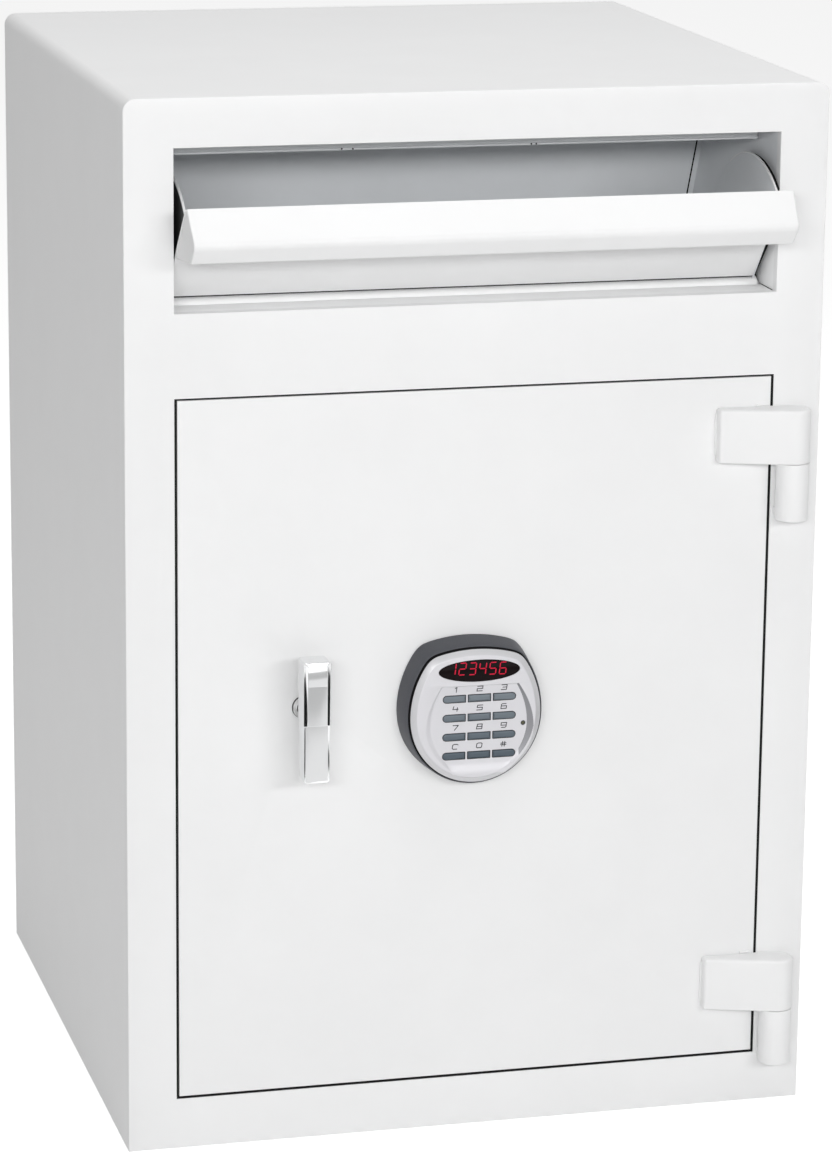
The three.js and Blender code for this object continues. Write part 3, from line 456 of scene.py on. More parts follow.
def makeCabinet():
    half, top, bend, wall = take(cabinet, "half height bend wall")
    shoulders = np.concatenate([arc(half - bend, top - bend, bend, 0, 90, 16),
                                arc(-half + bend, top - bend, bend, 90, 180, 16)])
    # Wrap: a sheet bent over both shoulders, drawn from the front and carried to the back.
    outline = np.concatenate([[[half, 0]], shoulders, [[-half, 0], [-half + wall, 0]],
                              arc(-half + bend, top - bend, bend - wall, 180, 90, 16),
                              arc(half - bend, top - bend, bend - wall, 90, 0, 16), [[half - wall, 0]]])
    wrap, face, lining = Shell(), Shell(), Shell()
    plate(wrap, outline, [], cabinet["plateBack"], cabinet["back"], (0, cabinet["backEdge"]))
    wrap.piece("wrap", white, "cabinet", "white_paint", ["body_wrap"])
    plate(face, np.concatenate([[[-half, 0], [half, 0]], shoulders]), [opening(mouth), opening(doorway)],
          cabinet["front"], cabinet["plateBack"], (cabinet["edge"], 0), holeBevels=(cabinet["openingEdge"], 0))
    face.piece("facePlate", white, "cabinet", "white_paint", ["front_face"])
    # Painted shade: a black lining round the doorway, thinner over its head, that darkens the door gap
    clear = shadeLining["clear"]
    plate(lining, opening(doorway, clear), [opening(doorway, clear + shadeLining["thickness"], clear + shadeLining["head"])],
          shadeLining["front"], shadeLining["back"], (shadeLining["edge"], 0))
    lining.piece("doorwayShadeLining", blackPlastic, "cabinet", "dark_plastic")


# Door slab
door = {"edge": 0.35, "backEdge": 0.4, "spindle": (-126.2, 326, 7.3)}


def makeDoor():
    low, high = span("door_slab")
    u, v, radius = door["spindle"]
    slab = Shell()
    outline, hole = rectangle(low[0], high[0], low[2], high[2]), ellipse(u, v, radius, radius, 32)
    plate(slab, outline, [hole], low[1], high[1], (door["edge"], door["backEdge"]))
    slab.piece("doorPanel", white, "door", "white_paint", ["door_slab"])


# Hopper flap, drawn upright about its rod. The front pieces are then leaned out.
flap = {"pivot": (-208.2, 611.1), "lean": 44, "half": 217.2, "left": 217.4, "right": 212.4, "sheet": 2,
        "foot": 10.4, "head": 108.5, "seam": 1.1, "seamProud": 0.05, "tube": 6.5, "tubeHalf": 217,
        "tubeEdge": (0.6, 0.7), "bore": 3.85}
lip = {"back": -0.3, "reach": 33.2, "top": 113, "crown": 0.8, "front": 19, "foot": 56, "nose": 5,
       "chin": 2.8, "edges": (0.9, 2.3), "tapers": (0.6, 3.2)}
flapSide = {"outer": 213.9, "inner": 212.7, "middle": (4.3, 1.9), "radius": 92.9, "from": 60, "heel": 5.5,
            "tail": (150, 8), "edge": 0.35, "rim": 1, "rimProud": 0.1}
flapShadeFace = {"inset": 2, "short": 1, "foot": (0, 12), "proud": 0.12, "deep": 0.1}


def flapPiece(shell, lean, name, paint, slot, stands=()):
    angle = radians(lean)
    turn = np.array([[1, 0, 0], [0, cos(angle), -sin(angle)], [0, sin(angle), cos(angle)]])
    shell.points = [points @ turn.T + np.array([0, *flap["pivot"]]) for points in shell.points]
    shell.piece(name, paint, "hopper", slot, stands)


def makeFlapFront():
    lean, left, right, foot, sheet = take(flap, "lean left right foot sheet")
    reach, top, back = take(lip, "reach top back")
    grip, panel, seam = Shell(), Shell(), Shell()
    corners = [(back, top - lip["crown"]), (-reach, top), (-reach, top - lip["front"]), (back, lip["foot"])]
    outline = rounded(corners, [0, lip["nose"], lip["chin"], 0], 10)
    across(grip, outline, -flap["half"], flap["half"], lip["edges"], 6)
    for points in grip.points:  # both ends stand in towards the nose, in proportion to its reach
        forward = -points[:, 1] / reach
        points[:, 0] += np.where(points[:, 0] < 0, lip["tapers"][0], -lip["tapers"][1]) * forward
    flapPiece(grip, lean, "flapLip", white, "white_paint", ["hopper_lip"])
    across(panel, rectangle(0, sheet, foot, flap["head"]), -left, right, (0.1, 0.1))
    flapPiece(panel, lean, "flapPanel", white, "white_paint", ["hopper_panel"])
    # Painted shadow: a black strip along the panel's lower edge, for the shadow it casts on the tube.
    across(seam, rectangle(-flap["seamProud"], sheet, foot - flap["seam"], foot), -left, right, (0, 0))
    flapPiece(seam, lean, "flapShadowStrip", blackPlastic, "dark_plastic")


def makeFlapRear():
    tube = Shell()
    r, half, bore, (inwards, along) = take(flap, "tube tubeHalf bore tubeEdge")
    turned(tube, (0, 0), [(bore, -half), (r - inwards, -half), (r, -half + along), (r, half - along),
                          (r - inwards, half), (bore, half), (bore, -half)], sideAxes, 48)
    # The tube takes the lighter white: painted light, since the flap above shades it.
    flapPiece(tube, 0, "flapTube", paintedLight, "white_paint", ["hopper_tube"])
    middle, radius, heel, tail, start, proud = take(flapSide, "middle radius heel tail from rimProud")
    until = 90 + flap["lean"]
    crest = arc(*middle, radius, start, until, 60)
    outline = np.concatenate([arc(0, 0, heel, until, 270, 24), [[tail[0], -heel], tail], crest])
    rimLoop = np.concatenate([crest, arc(*middle, radius - flapSide["rim"], until, start, 60)])
    short = flapShadeFace["short"]
    face = arc(*middle, radius - flapShadeFace["inset"], start + short, until - short, 60)
    face = np.concatenate([face, [flapShadeFace["foot"]]])
    for name, side in (("left", -1), ("right", 1)):
        outer, within = side * flapSide["outer"], side * flapSide["inner"]
        cheek, rim, outside = Shell(), Shell(), Shell()
        across(cheek, outline, outer, within, (flapSide["edge"],) * 2, holes=[ellipse(0, 0, bore, bore, 32)])
        flapPiece(cheek, 0, "flapSide_" + name, inner, "inner_paint", ["hopper_side_" + name])
        # Painted highlight: a strip of the lighter white along each side plate's arc, for its lit edge.
        across(rim, rimLoop, outer + side * proud, within - side * proud)
        flapPiece(rim, 0, "flapLitRim_" + name, paintedLight, "white_paint")
        # Painted shade: a near-black sheet on each side plate's outer face, where the narrow gap to the cheek
        # is dark.
        across(outside, face, outer + side * flapShadeFace["proud"], outer - side * flapShadeFace["deep"], (0, 0))
        flapPiece(outside, 0, "flapShadeFace_" + name, paintedShade, "inner_paint")


# Hopper sill, header, baffle and facings, all drawn from the side
sill = {"front": -241.7, "back": -215.7, "top": 612.6, "fold": 12.6, "sheet": 2, "bend": 2.4, "hollow": 0.4,
        "half": 218.1}
header = {"front": -204, "low": 716, "top": 757.7, "leg": 20, "sheet": 2, "bend": 2.6, "half": 217,
          "roll": 0.9, "dots": ((-89.9, 717.1), (-81.9, 716.9), (48.1, 716.9), (51.7, 716.9))}
baffle = {"foot": (-31.2, 613.2), "lean": 25.8, "top": 757.6, "sheet": 2, "half": 214.2,
          "flange": (215.2, 219.6), "seam": (214.1, 215.2), "recess": 0.03}
facing = {"start": 218.9, "end": 220.15, "front": -241.7, "top": 757, "shift": (11.7, -0.4), "until": 76,
          "rear": ((-112, 655), (-70, 613), (-33.6, 613), (-103.2, 757)),
          "rodHollow": (-200.9, 609.9, 7.8, 159.7, 105.5), "crack": 1.4}
filler = {"near": 0.15, "far": 0.05, "middle": (-185, 608), "radius": 91.5, "hide": (26, -6.5),
          "floor": 613, "rear": ((-112, 655), (-112, 613))}
jambShade = {"front": -249.4, "low": 678, "proud": 0.06, "deep": 0.1}


def makeSillAndHeader():
    front, back, top, sheet, bend, hollow = take(sill, "front back top sheet bend hollow")
    low, within, without = top - sill["fold"], front + sheet, back - sheet
    outline = rounded([(front, low), (within, low), (within, top - sheet), (without, top - sheet),
                       (without, low), (back, low), (back, top), (front, top)],
                      [0, 0, hollow, hollow, 0, 0, bend, bend])
    ledge, strip, dimples = Shell(), Shell(), Shell()
    across(ledge, outline, -sill["half"], sill["half"])
    # The sill takes the lighter white: painted light on a ledge that the mouth's head shades.
    ledge.piece("sillChannel", paintedLight, "cabinet", "inner_paint", ["hopper_sill"])
    y, low, top, half, t, roll = take(header, "front low top half sheet roll")
    rear = y + header["leg"]
    outline = rounded([(y, low), (y + t, low), (y + t, top - t), (rear, top - t), (rear, top), (y, top)],
                      [0.5, 0.5, 0.6, 0, 0, header["bend"]])
    across(strip, outline, -half, half)
    # Its lower edge is folded forwards into a small round hem.
    profile = [(0, -half), (roll, -half + 0.3), (roll, half - 0.3), (0, half)]
    turned(strip, (y, low + roll), profile, sideAxes, 20)
    strip.piece("headerAngle", inner, "cabinet", "inner_paint", ["hopper_header"])
    hem = y - roll  # spot weld marks on the hem, each a shallow dark dish with a rim
    for place in header["dots"]:
        turned(dimples, place, [(0, hem), (0.4, hem), (0.55, hem - 0.1), (0.65, hem), (0.65, hem + 0.3),
                                (0, hem + 0.3)], frontAxes, 16)
    dimples.piece("spotWelds", blackPlastic, "cabinet", "inner_paint")


def makeBaffle():
    foot, lean = np.array(baffle["foot"]), radians(baffle["lean"])
    head = foot + np.array([-tan(lean), 1]) * (baffle["top"] - foot[1])
    through = np.array([-cos(lean), -sin(lean)]) * baffle["sheet"]
    outline = np.array([foot + through, foot, head, head + through])
    sheet, seams = Shell(), Shell()  # the shadow strips are painted shade: black sheets in the gaps between the baffle and its flanges
    across(sheet, outline, -baffle["half"], baffle["half"])
    bothSides(sheet, outline, *baffle["flange"])
    bothSides(seams, outline + through * baffle["recess"], *baffle["seam"])
    seams.piece("baffleShadowStrip", blackPlastic, "cabinet", "inner_paint")
    sheet.piece("hopperBaffle", inner, "cabinet", "inner_paint", ["hopper_baffle"])


def crossing(centre, radius, depth):  # degrees at which the top of a circle crosses a depth
    return degrees(acos((depth - centre[0]) / radius))


# Facings line each cheek above the leaning flap, following its rim, and below it.
def makeFacings():
    lean, radius, until, y = radians(flap["lean"]), flapSide["radius"], facing["until"], facing["front"]
    pivot = np.array(flap["pivot"]) + np.array(facing["shift"])
    upper = np.concatenate([[(y, facing["top"])], arc(*pivot, radius, crossing(pivot, radius, y), until, 30),
                            facing["rear"]])
    rise = (pivot[0] - facing["crack"] - y) / tan(lean)
    lower = np.concatenate([[(y, sill["top"])], arc(*facing["rodHollow"], 8), [(y, pivot[1] + rise)]])
    sheets, gussets, dark = Shell(), Shell(), Shell()
    bothSides(sheets, upper, facing["start"], facing["end"], (0.2, 0))
    bothSides(gussets, lower, facing["start"], facing["end"], (0.2, 0))
    # The gussets take the lighter white: painted light on cheek faces that sit in shade.
    gussets.piece("gussetFacings", paintedLight, "cabinet", "inner_paint")
    # A filler closes the slot but for a band along the rim, out of sight behind the leaning flap.
    middle, slant = filler["middle"], np.array([-sin(lean), cos(lean)])
    hidden = np.array(flap["pivot"]) + np.array(filler["hide"])
    line = [hidden + slant * (filler["floor"] - hidden[1]) / slant[1],
            hidden + slant * (y - hidden[0]) / slant[0]]
    band = arc(*middle, filler["radius"], crossing(middle, filler["radius"], y), until, 30)
    bothSides(sheets, np.concatenate([line, band, filler["rear"]])[::-1], facing["start"] + filler["near"],
              facing["end"] - filler["far"], (0.1, 0))
    sheets.piece("cheekFacings", inner, "cabinet", "inner_paint")
    # Painted shade: a dark sheet on each jamb under the flap's arc, where the gap beside its rim lies in
    # shadow.
    crest = arc(*pivot, radius, crossing(pivot, radius, y), crossing(pivot, radius, jambShade["front"]), 8)
    bothSides(dark, np.concatenate([crest, [(jambShade["front"], jambShade["low"]), (y, jambShade["low"])]]),
              mouth["half"] - jambShade["proud"], mouth["half"] + jambShade["deep"])
    dark.piece("jambShadeSheet", paintedShade, "cabinet", "inner_paint")


# Hinges: plan outlines carried upwards, with weld beads where they meet the plates
hinge = {"x": 230.5, "y": -263.5, "radius": 12, "face": -250.3, "leafLength": 54.2, "leafEdge": 9,
         "edge": 2.4, "cornerEdge": 2.5, "footHalf": 8, "pin": 5.3, "knuckleEdges": (1.3, 0.5),
         "leafWeld": -250.5, "knuckleWeld": -250.4}


# Beads at one depth, each with the x and z of its start and end, its radius, pitch and seed.
def weldPiece(name, body, depth, beads):
    shell = Shell()
    for x0, z0, x1, z1, *look in beads:
        weldBead(shell, (x0, depth, z0), (x1, depth, z1), *look)
    shell.piece(name, white, body, "white_paint")


def makeHinges():
    x, y, radius, length, foot = take(hinge, "x y radius leafLength footHalf")
    start, edge = hinge["face"] - y, cabinet["front"] - hinge["leafEdge"] - y
    tangent = degrees(atan2(edge, -length) + acos(radius / hypot(length, edge)))
    around = arc(0, 0, radius, tangent, 450, 56)
    corner = rounded([(-length, start), (-length, edge), around[0]], [0, hinge["cornerEdge"], 0])[1:-1]
    leafLoop = np.concatenate([[[0, start], [-length, start]], corner, around]) + np.array([x, y])
    side = degrees(acos(foot / radius))
    turn = arc(0, 0, radius, 180 - side, 360 + side, 48)
    barrelLoop = np.concatenate([[[-foot, start]], turn, [[foot, start]]]) + np.array([x, y])
    for name in ("upper", "lower"):
        (left, _, low), (_, _, high) = span(name + "_hinge_leaf")
        leaf, barrel = Shell(), Shell()
        plate(leaf, leafLoop, [], low, high, (hinge["edge"] * 0.5, hinge["edge"]), planAxes, 6)
        leaf.piece(name + "Leaf", white, "door", "white_paint", [name + "_hinge_leaf"])
        weldPiece(name + "LeafWeld", "door", hinge["leafWeld"], (
            (205.5, high + 0.4, 214.5, high + 0.4, 0.8, 1.7, 7),
            (left - 0.3, low + 4, left - 0.3, high - 4, 0.8, 1.8, 8)))
        (_, _, low), (_, _, high) = span(name + "_hinge_knuckle")
        left, right = x - foot - 0.4, x + foot + 0.4
        plate(barrel, barrelLoop, [ellipse(x, y, hinge["pin"], hinge["pin"], 32)], low, high,
              hinge["knuckleEdges"], planAxes, 4)
        barrel.piece(name + "Knuckle", white, "cabinet", "white_paint", [name + "_hinge_knuckle"])
        weldPiece(name + "KnuckleWeld", "cabinet", hinge["knuckleWeld"], (
            (left, low + 1, left, low + 7, 0.9, 1.6, 3), (left, high - 9, left, high - 2, 0.9, 1.6, 4),
            (right, low + 2, right, high - 2, 0.9, 1.8, 5),
            (x - foot, low - 0.3, x + foot, low - 0.3, 0.9, 1.8, 6)))


# Handle: a chamfered block above, a plainer one a step behind below, and a round neck.
# A block's front flat stands in from its left, right, bottom and top edges by its margins.
# Its slopes are rolled into the flat: mix is the share of the way, fall the share of the depth left.
handle = {"x": -126.2, "z": 326, "back": -275, "mix": (0.12, 0.88, 0.97, 1),
          "fall": (0.95, 0.13, 0.02, 0), "pad": (2.7, -3.1, 27, -1.8), "padRise": 0.07}
blocks = (
    {"sides": (-9.75, 9.75, -2.2, 44.3), "front": -295, "slope": 1.5, "margins": (2.5, 2.9, 0.5, 1.6),
     "corners": (0.5, 0.5, 1.6, 1.6)},
    {"sides": (-9.2, 9.2, -44, 1), "front": -293, "slope": 0.6, "margins": (0.8, 1.5, 0.8, 0.5),
     "corners": (2.2, 2.2, 0.5, 0.5)})
rosette = {"radius": 8, "bore": 5.3, "neck": 5, "rise": 2.5, "back": -250.3, "edge": 0.3}
rosetteShadeRing = {"inner": 7.4, "outer": 8.4, "back": -250.05, "front": -250.5}


def makeHandle():
    place, back = (handle["x"], handle["z"]), handle["back"]
    grip, ring, shadowRing = Shell(), Shell(), Shell()
    mix, fall = np.array(handle["mix"])[:, None, None], np.array(handle["fall"])
    for block in blocks:
        sides, corners, slope = np.array(block["sides"]), block["corners"], block["slope"]
        outer = rounded(rectangle(*sides), corners)
        flat = rectangle(*(sides + np.array(block["margins"]) * (1, -1, 1, -1)))
        flat = rounded(flat, [corner * 0.5 for corner in corners])
        # Rings from the back forwards: a small roll, straight sides, then the slopes.
        loops = [insetLoop(outer, 0.8), insetLoop(outer, 0.25), outer, outer, *(outer * (1 - mix) + flat * mix)]
        depths = [back, back - 0.25, back - 0.8, block["front"] + slope + 0.35,
                  *(block["front"] + slope * fall)]
        stack(grip, np.array(loops) + place, depths)
    # Thin raised pad over the head of the upper flat
    left, right, _, high = blocks[0]["sides"]
    pad = rectangle(*(np.array([left, right, 0, high]) + handle["pad"])) + place
    plate(grip, pad, [], blocks[0]["front"] - handle["padRise"], blocks[0]["front"], (handle["padRise"], 0))
    neck = rosette["neck"]
    turned(grip, place, [(0, -250.4), (neck, -250.4), (neck, -262), (6.6, -268), (7, -273), (7.6, -275.5),
                         (0, -275.5)], frontAxes, 48)
    grip.piece("gripBar", chrome, "handle", "chrome", ["handle_grip"], 24)
    r, bore, rear, edge = take(rosette, "radius bore back edge")
    front = cabinet["front"] - rosette["rise"]
    turned(ring, place, [(bore, rear), (r, rear), (r, front + edge), (r - edge, front), (bore, front),
                         (bore, rear)], frontAxes, 64)
    ring.piece("gripRosette", satin, "door", "chrome", ["handle_rosette"], 24)
    # Painted shade: a black ring just behind the rosette's edge, for the shadow round its rim
    r, bore, rear, front = take(rosetteShadeRing, "outer inner back front")
    turned(shadowRing, place, [(bore, rear), (r, rear), (r, front), (bore, front), (bore, rear)], frontAxes, 64)
    shadowRing.piece("rosetteShadeRing", blackPlastic, "door", "dark_plastic")


# Keypad: loops are drawn about its own middle
keypad = {"x": -4.75, "z": 317.5, "halfWidth": 49.1, "halfHeight": 50.3, "sideRadius": 73, "topRadius": 104,
          "shift": 2.45}
base = {"flare": 3.1, "aside": -1.7, "lift": 2.4, "frontFlare": 1.1, "wall": 2.5}
bezel = {"grow": -1, "edge": -269.4, "ring": 3.8, "face": -272, "panel": -270.4, "back": -268.6}
sunk = {"inner": {"half": 35.3, "top": (27.4, 22.4), "low": (24, -33.8)},
        "outer": {"half": 40, "top": (28.5, 23.2), "low": (19, -42.5)}, "shadedCrescent": (8, 56)}
window = {"rise": 34, "aside": 1.75, "half": 29.9, "tall": 8, "clear": 0.15}
keys = {"width": 16.3, "height": 4.9, "pitchX": 18.5, "pitchZ": 14.05, "top": 13.4, "front": -271.2,
        "back": -267, "edge": 0.9, "surround": 0.48, "clear": 0.06}
keyNames = (("1", "2", "3"), ("4", "5", "6"), ("7", "8", "9"), ("clear", "0", "hash"))
keyPlaces = [(column, row, name) for row, names in enumerate(keyNames)
             for column, name in zip((-1, 0, 1), names)]
lamp = {"place": (30.3, 310.5), "hole": 1.8}


# Outline of the keypad: side arcs up to the corners, a flat arc over the top and half an ellipse below.
def keypadLoop(grow, lift=0, aside=0):
    sideCentre = keypad["sideRadius"] - keypad["halfWidth"]
    topCentre = keypad["topRadius"] - keypad["halfHeight"]
    sideRadius, topRadius = keypad["sideRadius"] + grow, keypad["topRadius"] + grow
    apart = hypot(sideCentre, topCentre)
    along = (apart ** 2 + sideRadius ** 2 - topRadius ** 2) / (2 * apart)
    across = sqrt(sideRadius ** 2 - along ** 2)
    cornerX = -sideCentre + (along * sideCentre + across * topCentre) / apart
    cornerZ = (-along * topCentre + across * sideCentre) / apart
    sideSweep = degrees(atan2(cornerZ, cornerX + sideCentre))
    topSweep = degrees(atan2(cornerX, cornerZ + topCentre))
    lower = np.radians(np.linspace(180, 360, 64, endpoint=False))
    low = [(keypad["halfWidth"] + grow) * np.cos(lower), (keypad["halfHeight"] + grow) * np.sin(lower)]
    loop = np.concatenate([
        arc(-sideCentre, 0, sideRadius, 0, sideSweep, 24)[:-1],
        arc(0, -topCentre, topRadius, 90 - topSweep, 90 + topSweep, 40)[:-1],
        arc(sideCentre, 0, sideRadius, 180 - sideSweep, 180, 24)[:-1],
        np.stack(low, -1)])
    for _ in range(10):  # rounds the two corners a little
        loop = (np.roll(loop, 1, 0) + 2 * loop + np.roll(loop, -1, 0)) / 4
    return loop + np.array([keypad["x"] + aside, keypad["z"] + lift])


# Sunk panel's outline: straight above and below, with sides that bow out as a parabola from their middle.
def panelLoop(shape, steps=28):
    (topX, top), (lowX, low) = shape["top"], shape["low"]
    along = np.linspace(-1, 1, 2 * steps + 1)
    reach = shape["half"] - (shape["half"] - np.where(along > 0, topX, lowX)) * along ** 2
    height = (top + low) / 2 + along * (top - low) / 2
    right = np.stack([reach, height], -1)
    left = np.stack([-reach[::-1], height[::-1]], -1)
    overTop = np.linspace(right[-1], left[0], 12)[1:-1]
    under = np.linspace(left[-1], right[0], 12)[1:-1]
    middle = np.array([keypad["x"] + keypad["shift"], keypad["z"]])
    return np.concatenate([right, overTop, left, under]) + middle


# Key outline: the outer end of an outer key is round.
def keyLoop(column, row, grow=0):
    half, tall = keys["width"] / 2 + grow, keys["height"] / 2 + grow
    ends = []
    for side in (1, -1):  # right end, then left end
        if side == column:
            ends.append(arc(side * (half - tall), 0, tall, -side * 90, 180 - side * 90, 12))
        else:
            corners = np.array([(0, -tall), (half, -tall), (half, tall), (0, tall)]) * side
            ends.append(rounded(corners, [0, 0.5, 0.5, 0], 3)[1:-1])
    return np.concatenate(ends) + (keypad["x"] + keypad["shift"] + column * keys["pitchX"],
                                   keypad["z"] + keys["top"] - row * keys["pitchZ"])


def makeKeypadBody():
    tub, groove = Shell(), Shell()
    # Outer wall tapers forwards with a rolled front edge, then drops into the hollow.
    flare, lean, wall = take(base, "flare frontFlare wall")
    rows = [(flare - 0.6, 1, -250.3), (flare, 0.95, -251.2), (flare * 0.72 + 0.4, 0.7, -256),
            (lean + 0.5, 0.33, -262), (lean, 0.05, -265.9), (lean - 0.35, 0, -266.7), (lean - 0.9, 0, -267),
            (0.35, 0, -267), (0.1, 0, -266.6), (0, 0, -264.5), (-wall, 0, -264.5), (-wall, 0, -252.5)]
    stackRows(tub, lambda grow, lift: keypadLoop(grow, lift * base["lift"], lift * base["aside"]), rows, True)
    tub.piece("keypadTub", darkPlastic, "door", "dark_plastic", ["keypad_base"])
    # Painted shade: a black ring in the gap between the tub and the face
    stackRows(groove, keypadLoop, [(-0.05, -265), (-0.05, -266), (-1, -266), (-1, -269.35),
                                   (-2.2, -269.35), (-2.2, -265), (-0.05, -265)])
    groove.piece("keypadShadeRing", blackPlastic, "door", "dark_plastic")


def windowLoop(inset):
    return ellipse(keypad["x"] + window["aside"], keypad["z"] + window["rise"], window["half"] - inset,
                   window["tall"] - inset, 72)


def makeBezel():
    grow, face, panel, back, edge = take(bezel, "grow face panel back edge")
    ring, shell, shade, frames = Shell(), Shell(), Shell(), Shell()
    # Sloping ring round the face: skirt, slope, and a small roll at each end
    inside = grow - bezel["ring"]
    stackRows(ring, keypadLoop, [
        (grow - 0.6, edge + 0.1), (grow + 0.05, edge + 0.05), (grow + 0.05, edge - 0.1),
        (grow - 0.2, edge - 0.35), (inside + 0.4, face + 0.25), (inside, face + 0.04),
        (inside - 0.1, face + 0.5), (grow - 0.6, edge + 0.1)])
    ring.piece("keypadRing", trim, "door", "silver_plastic", (), 40)
    start = inside + 0.1
    rows = [(start, back)] + [(start - 0.8 * (1 - cos(a)), face + 0.5 - 0.5 * sin(a))
                              for a in np.linspace(0, np.pi / 2, 5)]
    stackRows(shell, keypadLoop, rows)
    outerLoop, innerLoop = panelLoop(sunk["outer"]), panelLoop(sunk["inner"])
    display = windowLoop(-window["clear"])
    cap(shell, [keypadLoop(rows[-1][0]), outerLoop, display], face, frontAxes)
    # Slope between the face and the panel: an S in depth across its width, with painted shade along its right
    # side.
    mix = np.linspace(0, 1, 9)
    depths = face + (panel - face) * mix * mix * (3 - 2 * mix)
    grid = outerLoop * (1 - mix[:, None, None]) + innerLoop * mix[:, None, None]
    first, last = sunk["shadedCrescent"]
    light = np.roll(grid, -last, 1)[:, :grid.shape[1] - last + first + 1]
    addRings(shell, light, depths, frontAxes, False)
    addRings(shade, grid[:, first:last + 1], depths, frontAxes, False)
    shade.piece("panelShadedCrescent", shadedCrescent, "door", "silver_plastic", (), 60)
    holes = [keyLoop(column, row, keys["surround"]) for column, row, _ in keyPlaces]
    holes.append(ellipse(*lamp["place"], lamp["hole"], lamp["hole"], 20))
    cap(shell, [innerLoop, *holes], panel, frontAxes)
    for hole, depth in [(hole, panel) for hole in holes] + [(display, face)]:
        stack(shell, [hole, hole], [depth, back], False)
    cap(shell, [keypadLoop(start), display, *holes], back, frontAxes)
    shell.piece("keypadFace", silver, "door", "silver_plastic", ["keypad_bezel"], 40)
    for column, row, _ in keyPlaces:  # black edging round each key
        plate(frames, keyLoop(column, row, keys["surround"] - 0.03), [keyLoop(column, row, keys["clear"])],
              panel - 0.05, panel + 1.2, (0, 0))
    frames.piece("keyFrames", blackPlastic, "door", "dark_plastic")


def makeKeys():
    for column, row, name in keyPlaces:
        button = Shell()
        plate(button, keyLoop(column, row), [], keys["front"], keys["back"], (keys["edge"], 0.2), frontAxes, 4)
        button.piece("keyCap_" + name, keyCap, "key_" + name, "key_plastic", ["key_" + name], 40)


# Legends: each sign is strokes on a grid 4 wide and 6 tall, drawn as thin bars of ink.
legend = {"width": 3.9, "height": 3.5, "rise": 6.9, "aside": 0.3, "pitch": 17.85, "stroke": 0.31, "slant": 0.16,
          "proud": 0.03, "thickness": 0.04, "overrun": 0.8}
signs = {  # x,y points, a slash between strokes
    "1": "1.4,4.9 2.6,6 2.6,0", "2": "0,6 4,6 4,3 0,3 0,0 4,0", "3": "0,6 4,6 4,3 1,3 / 4,3 4,0 0,0",
    "4": "0.4,6 0,2.4 4,2.4 / 3.3,4.4 3.3,0", "5": "4,6 0.2,6 0,3.2 4,3.2 4,0 0,0",
    "6": "3.4,6 0.6,6 0,5.2 0,0 4,0 4,3.2 0,3.2", "7": "0,6 4,6 1.6,0",
    "8": "0.2,3 0.2,6 3.8,6 3.8,3 / 0,3 4,3 4,0 0,0 0,3", "9": "0.6,0 3.4,0 4,0.8 4,6 0,6 0,2.8 4,2.8",
    "clear": "4,5.2 3.2,6 0.9,6 0,5.1 0,0.9 0.9,0 3.6,0",
    "0": "0.9,0 3.1,0 4,0.9 4,5.1 3.1,6 0.9,6 0,5.1 0,0.9 0.9,0",
    "hash": "1.2,6 1.2,0 / 2.9,6 2.9,0 / 0,4 4,4 / 0,2 4,2"}


def strokeBars(shell, line, place, depth):
    scale = np.array([legend["width"] / 4, legend["height"] / 6])
    for first, last in zip(line[:-1], line[1:]):
        ends = (np.array([first, last]) - np.array([2, 3])) * scale
        ends[:, 0] += ends[:, 1] * legend["slant"]
        way = (ends[1] - ends[0]) / np.linalg.norm(ends[1] - ends[0])
        beside = np.array([-way[1], way[0]]) * legend["stroke"]
        reach = way * legend["stroke"] * legend["overrun"]
        bar = np.array([ends[0] - reach - beside, ends[1] + reach - beside, ends[1] + reach + beside,
                        ends[0] - reach + beside]) + place
        plate(shell, bar, [], depth, depth + legend["thickness"], (0, 0))


def makeLegends():
    ink = Shell()
    for column, row, name in keyPlaces:
        place = np.array([keypad["x"] + keypad["shift"] + column * legend["pitch"] + legend["aside"],
                          keypad["z"] + keys["top"] - row * keys["pitchZ"] + legend["rise"]])
        for line in signs[name].split("/"):
            points = [tuple(map(float, point.split(","))) for point in line.split()]
            strokeBars(ink, points, place, bezel["panel"] - legend["proud"])
    ink.piece("keyLegends", legendInk, "door", "silver_plastic")


# Display: a domed black lens, and slanted seven-segment figures just proud of it
figures = {"height": 8.6, "width": 4.7, "pitch": 7.45, "bar": 0.8, "slant": 0.12, "gap": 0.2, "depth": -272.10,
           "thickness": 0.12, "rises": (2.1, 1), "aside": -1.3}
segmentsOf = {"1": "bc", "2": "abged", "3": "abgcd", "4": "fgbc", "5": "afgcd", "6": "afgedc"}


